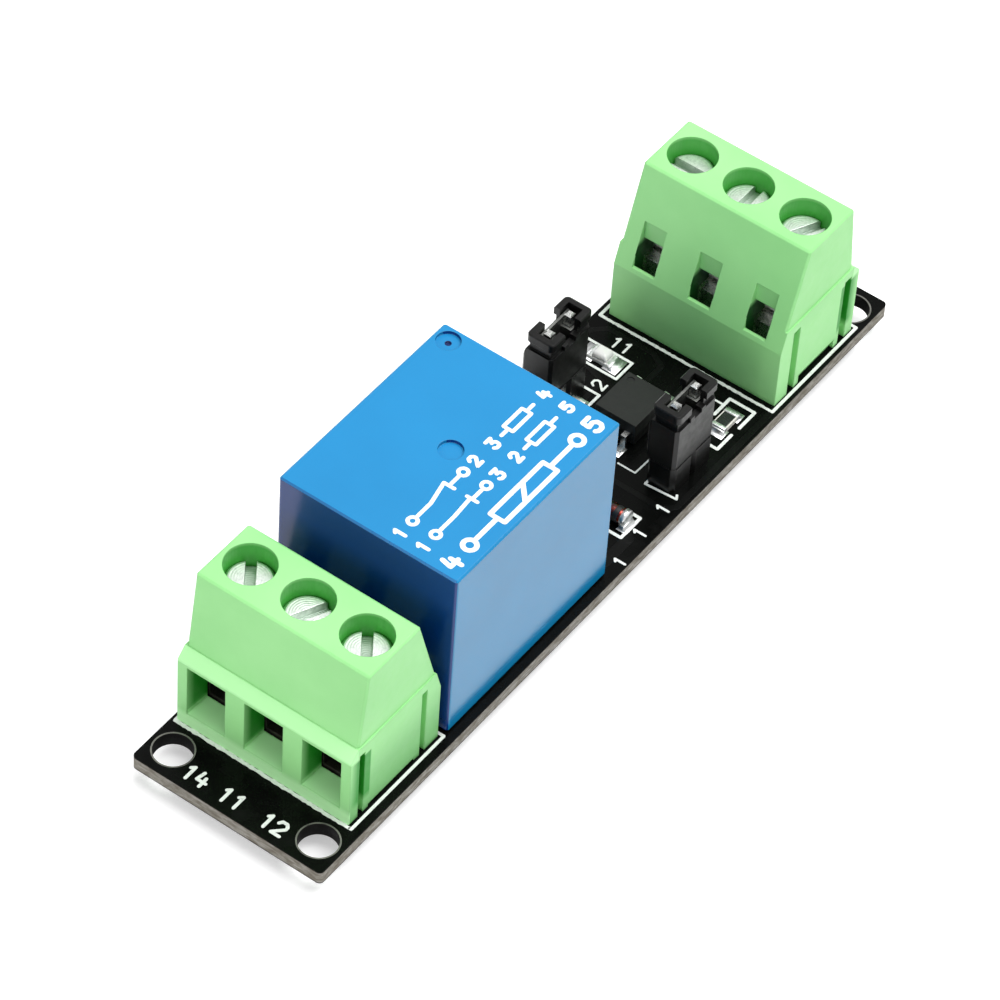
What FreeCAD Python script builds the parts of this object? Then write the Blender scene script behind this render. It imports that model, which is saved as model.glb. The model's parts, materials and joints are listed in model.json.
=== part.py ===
"""A one-channel relay module: a long narrow circuit board with a screw terminal block at each end,
a sealed cube relay, two jumper headers with their caps, and the small driver parts.

Millimetres, +Z up. +X runs across the board, +Y from the output end to the input end. The origin is
under the middle of the board, at the level of the pin tips that the module stands on.
"""
import FreeCAD, Part
import math
import os

Vector = FreeCAD.Vector

# Board. Its length and width follow from what stands on it.
BOARD_THICKNESS = 1.2
BOARD_SIDE_MARGIN = 0.78
BOARD_CORNER_RADIUS = 0.4
MOUNT_HOLE_DIAMETER = 3.0
MOUNT_HOLE_FROM_SIDE = 1.95
MOUNT_HOLE_FROM_END = 2.25

# Pins and their solder
PIN_TAIL = 1.5
SOLDER_HEIGHT = 1.1
SOLDER_FOOT_RADIUS = 0.95
SOLDER_TIP_RADIUS = 0.5
PIN_HOLE_CLEARANCE = 0.12
# The many small pin holes and their solder are drawn six-sided, which keeps the facets few
PIN_HOLE_SIDES = 6

# Terminal blocks. Their own y runs inwards from the face that takes the wires.
POLES = 3
PITCH = 5.08
BLOCK_DEPTH = 10.3
LIP_HEIGHT = 6.6
LIP_TOP_DEPTH = 0.8
LEDGE_HEIGHT = 7.4
LEDGE_DEPTH = 0.9
UPPER_INSET = 0.12
TOP_FRONT = 1.8
TOP_BACK = 7.6
KINK_HEIGHT = 5.5
BLOCK_EDGE_CHAMFER = 0.15
OUTPUT_BLOCK_X = -0.36
OUTPUT_BLOCK_FROM_END = 4.6
INPUT_BLOCK_X = 0.12
INPUT_BLOCK_FROM_END = 4.1

# Wire entries and the inspection windows in the sloping back
MOUTH_WIDTH = 3.4
MOUTH_BOTTOM = 1.7
MOUTH_TOP = 6.2
MOUTH_TAPER = 0.15
FRONT_WALL = 2.15
WINDOW_WIDTH = 2.0
WINDOW_SILL = 0.4
WINDOW_HEIGHT = 3.95
WINDOW_POCKET_FRONT = 8.85
WINDOW_HOLE_HEIGHT = 2.2
WINDOW_PIT_WALL = 0.9
WINDOW_PIT_DEPTH = 2.5

# Interlock grooves on both ends of a block. The left end's are wider, and its foot is cut deeper.
LEFT_GROOVE_WIDTH = 0.9
RIGHT_GROOVE_WIDTH = 0.6
GROOVE_DEPTH = 0.5
FRONT_COLUMN = 1.0
BACK_COLUMN = 1.6
NOTCH_MARGIN = 0.6
LEFT_NOTCH_DEPTH = 0.35
LEFT_NOTCH_HEIGHT = 0.55
RIGHT_NOTCH_DEPTH = 0.12
RIGHT_NOTCH_HEIGHT = 0.15

# Rising cage, screw and contact of one pole
CAGE_WIDTH = 3.9
CAGE_DEPTH = 4.9
CAGE_HEIGHT = 7.0
CAGE_WALL = 0.5
CAGE_FLOOR = 0.7
CAGE_NUT = 1.9
CAGE_CORNER_CHAMFER = 0.3
CAGE_LIFT = 0.9
CAGE_TRAVEL = 2.4
CAGE_CLEARANCE = 0.15
CAGE_HEADROOM = 0.1
SCREW_SHANK_DIAMETER = 2.8
SCREW_HEAD_DIAMETER = 3.6
SCREW_HEAD_HEIGHT = 1.5
SCREW_RECESS = 1.5
SCREW_SLOT_WIDTH = 0.8
SCREW_SLOT_DEPTH = 0.75
SCREW_HEAD_CHAMFER = 0.2
SCREW_TIP_GAP = 0.05
THREAD_CLEARANCE = 0.05
SHOULDER_CLEARANCE = 0.15
SHOULDER_THICKNESS = 0.8
WELL_CLEARANCE = 0.15
TONGUE_WIDTH = 2.4
TONGUE_THICKNESS = 0.8
TONGUE_NUT_GAP = 0.3
CONTACT_LEG_GAP = 0.45
CONTACT_LEG_THICKNESS = 0.8
CONTACT_BACK_CLEARANCE = 0.2
TERMINAL_PIN_WIDTH = 1.0
# Slot directions in degrees from +X, as the screws happened to stop
OUTPUT_SLOT_ANGLES = (125.0, 65.0, 125.0)
INPUT_SLOT_ANGLES = (65.0, 90.0, 0.0)

# Relay. Its own y runs from the contact end to the hinge end.
RELAY_WIDTH = 15.5
RELAY_LENGTH = 19.2
RELAY_TOP = 16.2
RELAY_STANDOFF = 0.25
RELAY_X = -0.1
RELAY_FROM_BLOCK = 0.6
RELAY_FLANGE = 1.0
RELAY_PLUG = 0.8
RELAY_WALL = 0.75
RELAY_ROOF = 0.8
RELAY_CORNER_RADIUS = 0.25
RELAY_EDGE_CHAMFER = 0.14
RELAY_PLUG_CLEARANCE = 0.05
STANDOFF_SIZE = 0.9
STANDOFF_INSET = 1.1
DIMPLE_DIAMETER = 1.9
DIMPLE_DEPTH = 0.12
VENT_DIAMETER = 0.4
VENT_DIMPLE_FROM_CORNER = 1.3
PIN_ROW_FROM_SIDE = 1.75
CONTACT_PIN_FROM_END = 2.7
COIL_PIN_FROM_YOKE = 2.3

# Relay magnet. The coil takes what height the cover leaves it.
RELAY_HEADROOM = 0.38
CORE_RADIUS = 2.5
POLE_RADIUS = 3.4
POLE_THICKNESS = 0.6
BOBBIN_WALL = 0.5
BOBBIN_FLANGE = 0.8
BOBBIN_FLANGE_SIZE = 10.2
COIL_RADIUS = 4.8
YOKE_THICKNESS = 1.1
YOKE_WIDTH = 9.6
YOKE_COIL_GAP = 0.4
YOKE_FOOT_LIP = 2.1
YOKE_ABOVE_POLE = 0.6
ARMATURE_THICKNESS = 0.9
ARMATURE_OVERHANG = 0.9
ARMATURE_PIVOT_GAP = 0.05
ARMATURE_WIDTH = 9.0
ARMATURE_NOSE_WIDTH = 6.4
BLADE_THICKNESS = 0.25
BLADE_WIDTH = 4.6
BLADE_TIP_WIDTH = 2.6
BLADE_TAIL_DROP = 3.0
BLADE_TAIL_GAP = 0.15
BLADE_TAIL_CLEARANCE = 0.25
ARMATURE_SWING = 3.0

# Relay contacts
BUTTON_RADIUS = 0.95
BUTTON_HEIGHT = 0.3
BUTTON_FROM_END = 3.4
CONTACT_GAP = 0.02
STRIP_THICKNESS = 0.4
STRIP_WIDTH = 2.2
STRIP_OVERRUN = 1.3
RELAY_PIN_WIDTH = 1.0
COIL_PIN_SIZE = 0.6
COIL_PIN_TOP = 5.2

# Jumper headers and caps
HEADER_FROM_SIDE = 2.7
HEADER_BEFORE_BLOCK = 9.65
HEADER_PITCH = 2.54
HEADER_PINS = 2
HEADER_WIDTH = 2.5
HEADER_BASE_HEIGHT = 2.5
HEADER_NOTCH = 0.35
HEADER_PIN_SIZE = 0.64
HEADER_PIN_TOP = 8.05
HEADER_PIN_POINT = 0.16
CAP_WIDTH = 2.45
CAP_LENGTH = 5.1
CAP_HEIGHT = 5.65
CAP_CORNER_RADIUS = 0.4
CAP_EDGE_CHAMFER = 0.1
CAP_RIM_HEIGHT = 0.75
CAP_NECK_HEIGHT = 0.85
CAP_NECK_INSET = 0.25
CAP_BODY_INSET = 0.05
CAP_BULGE = 0.35
CAP_BULGE_RISE = 1.0
CAP_SLOT_WIDTH = 1.3
CAP_SLOT_END_WALL = 0.55
CAP_LIP_LENGTH = 1.6
CAP_LIP_HEIGHT = 1.7
CAP_LUG_LENGTH = 0.5
CAP_LUG_HEIGHT = 0.45
CAP_SEAT_GAP = 0.02
CLIP_THICKNESS = 0.2
CLIP_PIN_CLEARANCE = 0.04
CLIP_BOTTOM = 0.8
CLIP_SLEEVE_HEIGHT = 3.6
CLIP_BRIDGE_HEIGHT = 1.6
CLIP_BRIDGE_BELOW_TOP = 0.5

# Small parts between the relay and the input block, each placed from the board's side edge or its
# middle line and from the input block or the relay
DRIVER_ZONE_LENGTH = 21.5
LED_FROM_SIDE = 3.25
LED_BEFORE_BLOCK = 4.15
LED_LENGTH = 2.0
LED_WIDTH = 1.25
LED_BASE_HEIGHT = 0.35
LED_LENS_LENGTH = 1.3
LED_LENS_HEIGHT = 0.55
CHIP_LENGTH = 2.0
CHIP_WIDTH = 1.25
CHIP_HEIGHT = 0.5
CHIP_CAP = 0.35
CHIP_CAP_STEP = 0.05
INPUT_RESISTOR_FROM_SIDE = 2.55
INPUT_RESISTOR_BEFORE_BLOCK = 3.75
LED_RESISTOR_X = -3.8
LED_RESISTOR_BEFORE_BLOCK = 10.0
BASE_RESISTOR_FROM_SIDE = 2.2
OPTO_X = 0.05
OPTO_BEFORE_BLOCK = 7.8
OPTO_WIDTH = 3.9
OPTO_LENGTH = 4.5
OPTO_HEIGHT = 2.0
OPTO_STANDOFF = 0.1
OPTO_DRAFT = 0.12
OPTO_PIN_ONE_DIAMETER = 0.6
OPTO_PIN_ONE_DEPTH = 0.08
LEAD_WIDTH = 0.45
LEAD_THICKNESS = 0.2
LEAD_FOOT = 0.6
OPTO_LEAD_REACH = 1.2
OPTO_LEAD_HEIGHT = 1.1
DRIVER_ROW_BEHIND_RELAY = 4.8
DIODE_FROM_SIDE = 4.0
DIODE_LENGTH = 3.5
DIODE_DIAMETER = 1.45
DIODE_GLASS_DIAMETER = 1.3
DIODE_CAP = 0.45
TRANSISTOR_X = -2.2
TRANSISTOR_LENGTH = 2.9
TRANSISTOR_WIDTH = 1.3
TRANSISTOR_HEIGHT = 1.0
TRANSISTOR_LEAD_REACH = 0.55
TRANSISTOR_LEAD_HEIGHT = 0.5
TRANSISTOR_LEAD_PITCH = 1.9

# A cutting tool runs this far past the face that it opens
OVERCUT = 0.5

# Levels and places worked out from the sizes above
BOARD_TOP = PIN_TAIL + BOARD_THICKNESS
BLOCK_WIDTH = POLES * PITCH
BOARD_WIDTH = BLOCK_WIDTH + 2 * BOARD_SIDE_MARGIN
RELAY_FROM_END = OUTPUT_BLOCK_FROM_END + BLOCK_DEPTH + RELAY_FROM_BLOCK
INPUT_BLOCK_FRONT_FROM_END = RELAY_FROM_END + RELAY_LENGTH + DRIVER_ZONE_LENGTH
BOARD_LENGTH = INPUT_BLOCK_FRONT_FROM_END + BLOCK_DEPTH + INPUT_BLOCK_FROM_END
END_Y = -BOARD_LENGTH / 2
SCREW_Y = FRONT_WALL + CAGE_CLEARANCE + CAGE_DEPTH / 2
CHAMBER_TOP = CAGE_LIFT + CAGE_HEIGHT + CAGE_TRAVEL + CAGE_HEADROOM
HEAD_SEAT = CHAMBER_TOP + SHOULDER_THICKNESS
BLOCK_HEIGHT = HEAD_SEAT + SCREW_HEAD_HEIGHT + SCREW_RECESS
CHAMBER_WIDTH = CAGE_WIDTH + 2 * CAGE_CLEARANCE
CHAMBER_BACK = SCREW_Y + CAGE_DEPTH / 2 + CAGE_CLEARANCE
NUT_BOTTOM = CAGE_LIFT + CAGE_HEIGHT - CAGE_NUT
TONGUE_TOP = NUT_BOTTOM - TONGUE_NUT_GAP
CONTACT_LEG_FRONT = SCREW_Y + CAGE_DEPTH / 2 + CONTACT_LEG_GAP
CONTACT_LEG_BACK = CONTACT_LEG_FRONT + CONTACT_LEG_THICKNESS
BACK_SLOPE = (BLOCK_DEPTH - TOP_BACK) / (BLOCK_HEIGHT - KINK_HEIGHT)
BACK_AT_LEDGE = TOP_BACK + BACK_SLOPE * (BLOCK_HEIGHT - LEDGE_HEIGHT)
POLE_OFFSETS = [(pole - (POLES - 1) / 2) * PITCH for pole in range(POLES)]
HEADER_X = BOARD_WIDTH / 2 - HEADER_FROM_SIDE
WINDOW_BOTTOM = KINK_HEIGHT + WINDOW_SILL


def box(x0, x1, y0, y1, z0, z1):
    """A block between two corners."""
    return Part.makeBox(x1 - x0, y1 - y0, z1 - z0, Vector(x0, y0, z0))


def centred_box(x, y, width, length, z0, z1):
    """A block centred on x and y."""
    return box(x - width / 2, x + width / 2, y - length / 2, y + length / 2, z0, z1)


def cylinder(x, y, radius, z0, z1):
    """An upright round bar."""
    return Part.makeCylinder(radius, z1 - z0, Vector(x, y, z0))


def prism_along_x(profile, x0, x1):
    """A profile of (y, z) points drawn out from x0 to x1."""
    points = [Vector(x0, y, z) for y, z in profile]
    return Part.Face(Part.makePolygon(points + points[:1])).extrude(Vector(x1 - x0, 0, 0))


def prism_along_y(profile, y0, y1):
    """A profile of (x, z) points drawn out from y0 to y1."""
    points = [Vector(x, y0, z) for x, z in profile]
    return Part.Face(Part.makePolygon(points + points[:1])).extrude(Vector(0, y1 - y0, 0))


def prism_upwards(profile, z0, z1):
    """A profile of (x, y) points drawn out from z0 to z1."""
    points = [Vector(x, y, z0) for x, y in profile]
    return Part.Face(Part.makePolygon(points + points[:1])).extrude(Vector(0, 0, z1 - z0))


def flat_sided(start, end):
    """The solid between two rings of corners in parallel planes, with a flat side at every edge."""
    def flat(corners):
        return Part.Face(Part.makePolygon(corners + corners[:1]))

    steps = list(zip(start, start[1:] + start[:1], end[1:] + end[:1], end))
    shell = Part.makeShell([flat(start), flat(end)] + [flat(list(corners)) for corners in steps])
    shell.sewShape()
    solid = Part.makeSolid(shell)
    return solid if solid.Volume > 0 else solid.reversed()


def polygon_bar(x, y, bottom_radius, top_radius, z0, z1):
    """An upright frustum with flat sides, whose corners lie on the two circles."""
    def ring(radius, z):
        turns = [2 * math.pi * (side + 0.5) / PIN_HOLE_SIDES for side in range(PIN_HOLE_SIDES)]
        return [Vector(x + radius * math.cos(turn), y + radius * math.sin(turn), z) for turn in turns]

    return flat_sided(ring(bottom_radius, z0), ring(top_radius, z1))


def rounded_upright_edges(shape, radius):
    """The shape with every upright straight edge rounded."""
    edges = [edge for edge in shape.Edges if is_along(edge, Vector(0, 0, 1))]
    return shape.makeFillet(radius, edges)


def is_along(edge, direction):
    """Whether a straight edge runs along a direction."""
    if not isinstance(edge.Curve, Part.Line):
        return False
    start, end = edge.Vertexes[0].Point, edge.Vertexes[-1].Point
    return (end - start).normalize().cross(direction).Length < 1e-6


def edges_at_height(shape, height):
    """The edges that lie level at one height."""
    return [edge for edge in shape.Edges if all(abs(v.Z - height) < 1e-6 for v in edge.Vertexes)]


def fuse(shapes):
    """One solid from touching or overlapping shapes."""
    joined = shapes[0].multiFuse(shapes[1:]) if len(shapes) > 1 else shapes[0]
    return joined.removeSplitter()


def moved(shape, x, y, z, turn=0.0):
    """A copy turned about its own upright axis and then moved."""
    placed = shape.copy()
    placed.Placement = FreeCAD.Placement(
        Vector(x, y, z), FreeCAD.Rotation(Vector(0, 0, 1), turn)
    ).multiply(placed.Placement)
    return placed


def save(name, shape):
    """Write one sub-part."""
    shape.exportStep("parts/" + name + ".step")


def before_block(distance):
    """The y of a place this far in front of the input block."""
    return END_Y + INPUT_BLOCK_FRONT_FROM_END - distance


# Terminal blocks

def block_body():
    """A block without its openings: wire face, lip and ledge, then a slightly narrower upper part with
    a leaning front, a flat top and a sloping back."""
    half = BLOCK_WIDTH / 2
    lower = prism_along_x(
        [
            (0, 0),
            (0, LIP_HEIGHT),
            (LIP_TOP_DEPTH, LEDGE_HEIGHT),
            (BACK_AT_LEDGE, LEDGE_HEIGHT),
            (BLOCK_DEPTH, KINK_HEIGHT),
            (BLOCK_DEPTH, 0),
        ],
        -half,
        half,
    )
    upper = prism_along_x(
        [
            (LEDGE_DEPTH, LEDGE_HEIGHT),
            (TOP_FRONT, BLOCK_HEIGHT),
            (TOP_BACK, BLOCK_HEIGHT),
            (BACK_AT_LEDGE, LEDGE_HEIGHT),
        ],
        UPPER_INSET - half,
        half - UPPER_INSET,
    )
    foot = edges_at_height(upper, LEDGE_HEIGHT)
    edges = [edge for edge in upper.Edges if not any(edge.isSame(other) for other in foot)]
    return fuse([lower, upper.makeChamfer(BLOCK_EDGE_CHAMFER, edges)])


def wire_mouth(x):
    """The slightly tapered wire entry of one pole, through to the chamber."""
    def rectangle(y):
        inset = MOUTH_TAPER * y / FRONT_WALL
        half = MOUTH_WIDTH / 2 - inset
        low, high = MOUTH_BOTTOM + inset, MOUTH_TOP - inset
        corners = [(x - half, low), (x + half, low), (x + half, high), (x - half, high)]
        return [Vector(px, y, pz) for px, pz in corners]

    return flat_sided(rectangle(-OVERCUT), rectangle(FRONT_WALL + OVERCUT))


def inspection_window(x):
    """The upright pocket in the sloping back, the hole that shows the cage and the pit behind it."""
    left, right = x - WINDOW_WIDTH / 2, x + WINDOW_WIDTH / 2
    pocket = box(
        left,
        right,
        WINDOW_POCKET_FRONT,
        BLOCK_DEPTH + OVERCUT,
        WINDOW_BOTTOM,
        WINDOW_BOTTOM + WINDOW_HEIGHT,
    )
    hole = box(
        left,
        right,
        CHAMBER_BACK - OVERCUT,
        WINDOW_POCKET_FRONT + OVERCUT,
        WINDOW_BOTTOM,
        WINDOW_BOTTOM + WINDOW_HOLE_HEIGHT,
    )
    pit = box(
        left,
        right,
        CHAMBER_BACK,
        BLOCK_DEPTH - WINDOW_PIT_WALL,
        WINDOW_BOTTOM - WINDOW_PIT_DEPTH,
        WINDOW_BOTTOM + OVERCUT,
    )
    return [pocket, hole, pit]


def pole_chamber(x):
    """The space of one cage, the slot behind it for the contact, and the screw well above."""
    half = CHAMBER_WIDTH / 2
    contact_half = TONGUE_WIDTH / 2 + CAGE_CLEARANCE
    shank = SCREW_SHANK_DIAMETER / 2 + SHOULDER_CLEARANCE
    well = SCREW_HEAD_DIAMETER / 2 + WELL_CLEARANCE
    cage_space = box(x - half, x + half, FRONT_WALL, CHAMBER_BACK, -OVERCUT, CHAMBER_TOP)
    contact_slot = box(
        x - contact_half,
        x + contact_half,
        CHAMBER_BACK,
        CONTACT_LEG_BACK + CONTACT_BACK_CLEARANCE,
        -OVERCUT,
        NUT_BOTTOM,
    )
    shoulder_hole = cylinder(x, SCREW_Y, shank, CHAMBER_TOP - OVERCUT, HEAD_SEAT + OVERCUT)
    screw_well = cylinder(x, SCREW_Y, well, HEAD_SEAT, BLOCK_HEIGHT + OVERCUT)
    return [cage_space, contact_slot, shoulder_hole, screw_well]


def interlock_cuts(side, groove_width, notch_depth, notch_height):
    """The two upright grooves and the cut-back foot of one end; side is -1 or 1."""
    face = side * BLOCK_WIDTH / 2
    outside = face + side * OVERCUT
    groove_x = sorted((face - side * GROOVE_DEPTH, outside))
    back_start = BLOCK_DEPTH - BACK_COLUMN - groove_width
    front = box(*groove_x, FRONT_COLUMN, FRONT_COLUMN + groove_width, -OVERCUT, LIP_HEIGHT)
    back = box(*groove_x, back_start, back_start + groove_width, -OVERCUT, LIP_HEIGHT)
    notch_profile = [
        (outside, -OVERCUT),
        (face - side * notch_depth, -OVERCUT),
        (face - side * notch_depth, notch_height),
        (face, notch_height + notch_depth),
        (outside, notch_height + notch_depth),
    ]
    notch_start = FRONT_COLUMN + groove_width + NOTCH_MARGIN
    notch = prism_along_y(notch_profile, notch_start, back_start - NOTCH_MARGIN)
    return [front, back, notch]


def block_housing():
    """The moulded housing of a terminal block."""
    cuts = interlock_cuts(-1, LEFT_GROOVE_WIDTH, LEFT_NOTCH_DEPTH, LEFT_NOTCH_HEIGHT)
    cuts += interlock_cuts(1, RIGHT_GROOVE_WIDTH, RIGHT_NOTCH_DEPTH, RIGHT_NOTCH_HEIGHT)
    for x in POLE_OFFSETS:
        cuts += [wire_mouth(x)] + inspection_window(x) + pole_chamber(x)
    return block_body().cut(cuts)


def rising_cage():
    """The wire clamp of one pole: a box open to the front and back, with a nut as its roof."""
    half = CAGE_WIDTH / 2
    low, high = CAGE_LIFT, CAGE_LIFT + CAGE_HEIGHT
    front, back = SCREW_Y - CAGE_DEPTH / 2, SCREW_Y + CAGE_DEPTH / 2
    body = box(-half, half, front, back, low, high)
    body = body.makeChamfer(CAGE_CORNER_CHAMFER, [e for e in body.Edges if is_along(e, Vector(0, 1, 0))])
    opening = box(
        -half + CAGE_WALL, half - CAGE_WALL, front - OVERCUT, back + OVERCUT, low + CAGE_FLOOR, NUT_BOTTOM
    )
    thread_radius = SCREW_SHANK_DIAMETER / 2 + THREAD_CLEARANCE
    thread = cylinder(0, SCREW_Y, thread_radius, NUT_BOTTOM - OVERCUT, high + OVERCUT)
    return body.cut([opening, thread])


def terminal_screw(slot_angle):
    """A slotted screw that turns in the housing and draws the cage up."""
    shank_radius = SCREW_SHANK_DIAMETER / 2
    head_radius = SCREW_HEAD_DIAMETER / 2
    tip = TONGUE_TOP + SCREW_TIP_GAP
    top = HEAD_SEAT + SCREW_HEAD_HEIGHT
    profile = [
        (0, tip),
        (shank_radius, tip),
        (shank_radius, HEAD_SEAT),
        (head_radius, HEAD_SEAT),
        (head_radius, top - SCREW_HEAD_CHAMFER),
        (head_radius - SCREW_HEAD_CHAMFER, top),
        (0, top),
    ]
    points = [Vector(r, 0, z) for r, z in profile]
    screw = Part.Face(Part.makePolygon(points + points[:1])).revolve(Vector(0, 0, 0), Vector(0, 0, 1), 360)
    slot_length = SCREW_HEAD_DIAMETER + OVERCUT
    slot = centred_box(0, 0, slot_length, SCREW_SLOT_WIDTH, top - SCREW_SLOT_DEPTH, top + OVERCUT)
    slot.rotate(Vector(0, 0, 0), Vector(0, 0, 1), slot_angle)
    screw = screw.cut(slot)
    screw.translate(Vector(0, SCREW_Y, 0))
    return screw


def terminal_contact():
    """The strip that the wire is pressed against, its leg and its pin through the board."""
    half = TONGUE_WIDTH / 2
    tongue = box(
        -half, half, SCREW_Y - CAGE_DEPTH / 2, CONTACT_LEG_BACK, TONGUE_TOP - TONGUE_THICKNESS, TONGUE_TOP
    )
    leg = box(-half, half, CONTACT_LEG_FRONT, CONTACT_LEG_BACK, 0, TONGUE_TOP)
    pin_half = TERMINAL_PIN_WIDTH / 2
    pin = box(-pin_half, pin_half, CONTACT_LEG_FRONT, CONTACT_LEG_BACK, -BOARD_TOP, 0)
    return fuse([tongue, leg, pin])


def terminal_pin_places(x, y, turn):
    """Where the pins of a placed block go through the board."""
    sign = -1 if turn else 1
    pin_y = (CONTACT_LEG_FRONT + CONTACT_LEG_BACK) / 2
    return [
        (x + sign * offset, y + sign * pin_y, TERMINAL_PIN_WIDTH, CONTACT_LEG_THICKNESS)
        for offset in POLE_OFFSETS
    ]


def make_terminal_block(name, x, y, turn, slot_angles):
    """One placed block: housing, and screw, cage and contact of each pole. Returns its pin places."""
    save(name + "_terminal_housing", moved(block_housing(), x, y, BOARD_TOP, turn))
    sign = -1 if turn else 1
    for pole, offset in enumerate(POLE_OFFSETS, start=1):
        pole_x = x + sign * offset
        screw = terminal_screw(slot_angles[pole - 1])
        save(f"{name}_terminal_screw_{pole}", moved(screw, pole_x, y, BOARD_TOP, turn))
        save(f"{name}_terminal_cage_{pole}", moved(rising_cage(), pole_x, y, BOARD_TOP, turn))
        save(f"{name}_terminal_contact_{pole}", moved(terminal_contact(), pole_x, y, BOARD_TOP, turn))
    return terminal_pin_places(x, y, turn)


# Relay levels, in its own frame with z from the board's top face
RELAY_BASE_TOP = RELAY_STANDOFF + RELAY_FLANGE
RELAY_FLOOR = RELAY_BASE_TOP + RELAY_PLUG
PIN_ROW_X = RELAY_WIDTH / 2 - PIN_ROW_FROM_SIDE
BLADE_TAIL_BACK = RELAY_LENGTH - RELAY_WALL - BLADE_TAIL_CLEARANCE
BLADE_TAIL_FRONT = BLADE_TAIL_BACK - BLADE_THICKNESS
YOKE_BACK = BLADE_TAIL_FRONT - BLADE_TAIL_GAP
YOKE_FRONT = YOKE_BACK - YOKE_THICKNESS
CORE_FROM_END = YOKE_FRONT - YOKE_COIL_GAP - BOBBIN_FLANGE_SIZE / 2
YOKE_FOOT_FRONT = CORE_FROM_END - CORE_RADIUS - YOKE_FOOT_LIP
ARMATURE_FRONT = CORE_FROM_END - POLE_RADIUS - ARMATURE_OVERHANG
YOKE_FOOT_TOP = RELAY_FLOOR + YOKE_THICKNESS
ABOVE_YOKE = (
    ARMATURE_PIVOT_GAP + ARMATURE_THICKNESS + BLADE_THICKNESS
    + 2 * BUTTON_HEIGHT + CONTACT_GAP + STRIP_THICKNESS + RELAY_HEADROOM
)
YOKE_TOP = RELAY_TOP - RELAY_ROOF - ABOVE_YOKE
POLE_TOP = YOKE_TOP - YOKE_ABOVE_POLE
BOBBIN_TOP = POLE_TOP - POLE_THICKNESS
ARMATURE_BOTTOM = YOKE_TOP + ARMATURE_PIVOT_GAP
ARMATURE_TOP = ARMATURE_BOTTOM + ARMATURE_THICKNESS
BLADE_TOP = ARMATURE_TOP + BLADE_THICKNESS
COMMON_PIN_FROM_END = (YOKE_FRONT + YOKE_BACK) / 2
COIL_PIN_FROM_END = COMMON_PIN_FROM_END - COIL_PIN_FROM_YOKE
BUTTON_REACH = YOKE_FRONT - BUTTON_FROM_END + BUTTON_RADIUS
BUTTON_DROP = BUTTON_REACH * math.tan(math.radians(ARMATURE_SWING))
CLOSED_STRIP_BOTTOM = BLADE_TOP + 2 * BUTTON_HEIGHT + CONTACT_GAP
OPEN_STRIP_TOP = ARMATURE_TOP - 2 * BUTTON_HEIGHT - CONTACT_GAP - BUTTON_DROP


def relay_pins():
    """Each relay pin: x, y, width along x, width along y, in the relay's frame."""
    return {
        "closed": (PIN_ROW_X, CONTACT_PIN_FROM_END, STRIP_THICKNESS, RELAY_PIN_WIDTH),
        "open": (-PIN_ROW_X, CONTACT_PIN_FROM_END, STRIP_THICKNESS, RELAY_PIN_WIDTH),
        "coil_start": (-PIN_ROW_X, COIL_PIN_FROM_END, COIL_PIN_SIZE, COIL_PIN_SIZE),
        "coil_end": (PIN_ROW_X, COIL_PIN_FROM_END, COIL_PIN_SIZE, COIL_PIN_SIZE),
        "common": (0.0, COMMON_PIN_FROM_END, RELAY_PIN_WIDTH, STRIP_THICKNESS),
    }


def relay_pin_bar(name, z1):
    """The upright bar of one pin, from its tip below the board to z1."""
    x, y, width, length = relay_pins()[name]
    return centred_box(x, y, width, length, -BOARD_TOP, z1)


def relay_base():
    """The moulded base: flange, plug inside the cover, standoff feet and pin slots."""
    inner_width = RELAY_WIDTH - 2 * (RELAY_WALL + RELAY_PLUG_CLEARANCE)
    inner_length = RELAY_LENGTH - 2 * (RELAY_WALL + RELAY_PLUG_CLEARANCE)
    middle = RELAY_LENGTH / 2
    flange = centred_box(0, middle, RELAY_WIDTH, RELAY_LENGTH, RELAY_STANDOFF, RELAY_BASE_TOP)
    flange = rounded_upright_edges(flange, RELAY_CORNER_RADIUS)
    plug = centred_box(0, middle, inner_width, inner_length, RELAY_BASE_TOP, RELAY_FLOOR)
    foot_x = RELAY_WIDTH / 2 - STANDOFF_INSET
    foot_y = RELAY_LENGTH / 2 - STANDOFF_INSET
    feet = [
        centred_box(sx * foot_x, middle + sy * foot_y, STANDOFF_SIZE, STANDOFF_SIZE, 0, RELAY_STANDOFF)
        for sx in (-1, 1)
        for sy in (-1, 1)
    ]
    body = fuse([flange, plug] + feet)
    slots = [relay_pin_bar(name, RELAY_TOP) for name in relay_pins()]
    return body.cut(slots)


def relay_cover():
    """The moulded cover: a five-sided shell with two round marks in its top."""
    middle = RELAY_LENGTH / 2
    outer = centred_box(0, middle, RELAY_WIDTH, RELAY_LENGTH, RELAY_BASE_TOP, RELAY_TOP)
    outer = rounded_upright_edges(outer, RELAY_CORNER_RADIUS)
    outer = outer.makeChamfer(RELAY_EDGE_CHAMFER, edges_at_height(outer, RELAY_TOP))
    inner = centred_box(
        0,
        middle,
        RELAY_WIDTH - 2 * RELAY_WALL,
        RELAY_LENGTH - 2 * RELAY_WALL,
        RELAY_BASE_TOP - OVERCUT,
        RELAY_TOP - RELAY_ROOF,
    )
    corner_x = -RELAY_WIDTH / 2 + VENT_DIMPLE_FROM_CORNER
    corner_y = RELAY_LENGTH - VENT_DIMPLE_FROM_CORNER
    dimple_floor = RELAY_TOP - DIMPLE_DEPTH
    cuts = [inner]
    for x, y in ((corner_x, corner_y), (0, middle)):
        cuts.append(cylinder(x, y, DIMPLE_DIAMETER / 2, dimple_floor, RELAY_TOP + OVERCUT))
    cuts.append(cylinder(corner_x, corner_y, VENT_DIAMETER / 2, RELAY_TOP - RELAY_ROOF / 2, RELAY_TOP))
    return outer.cut(cuts)


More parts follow.
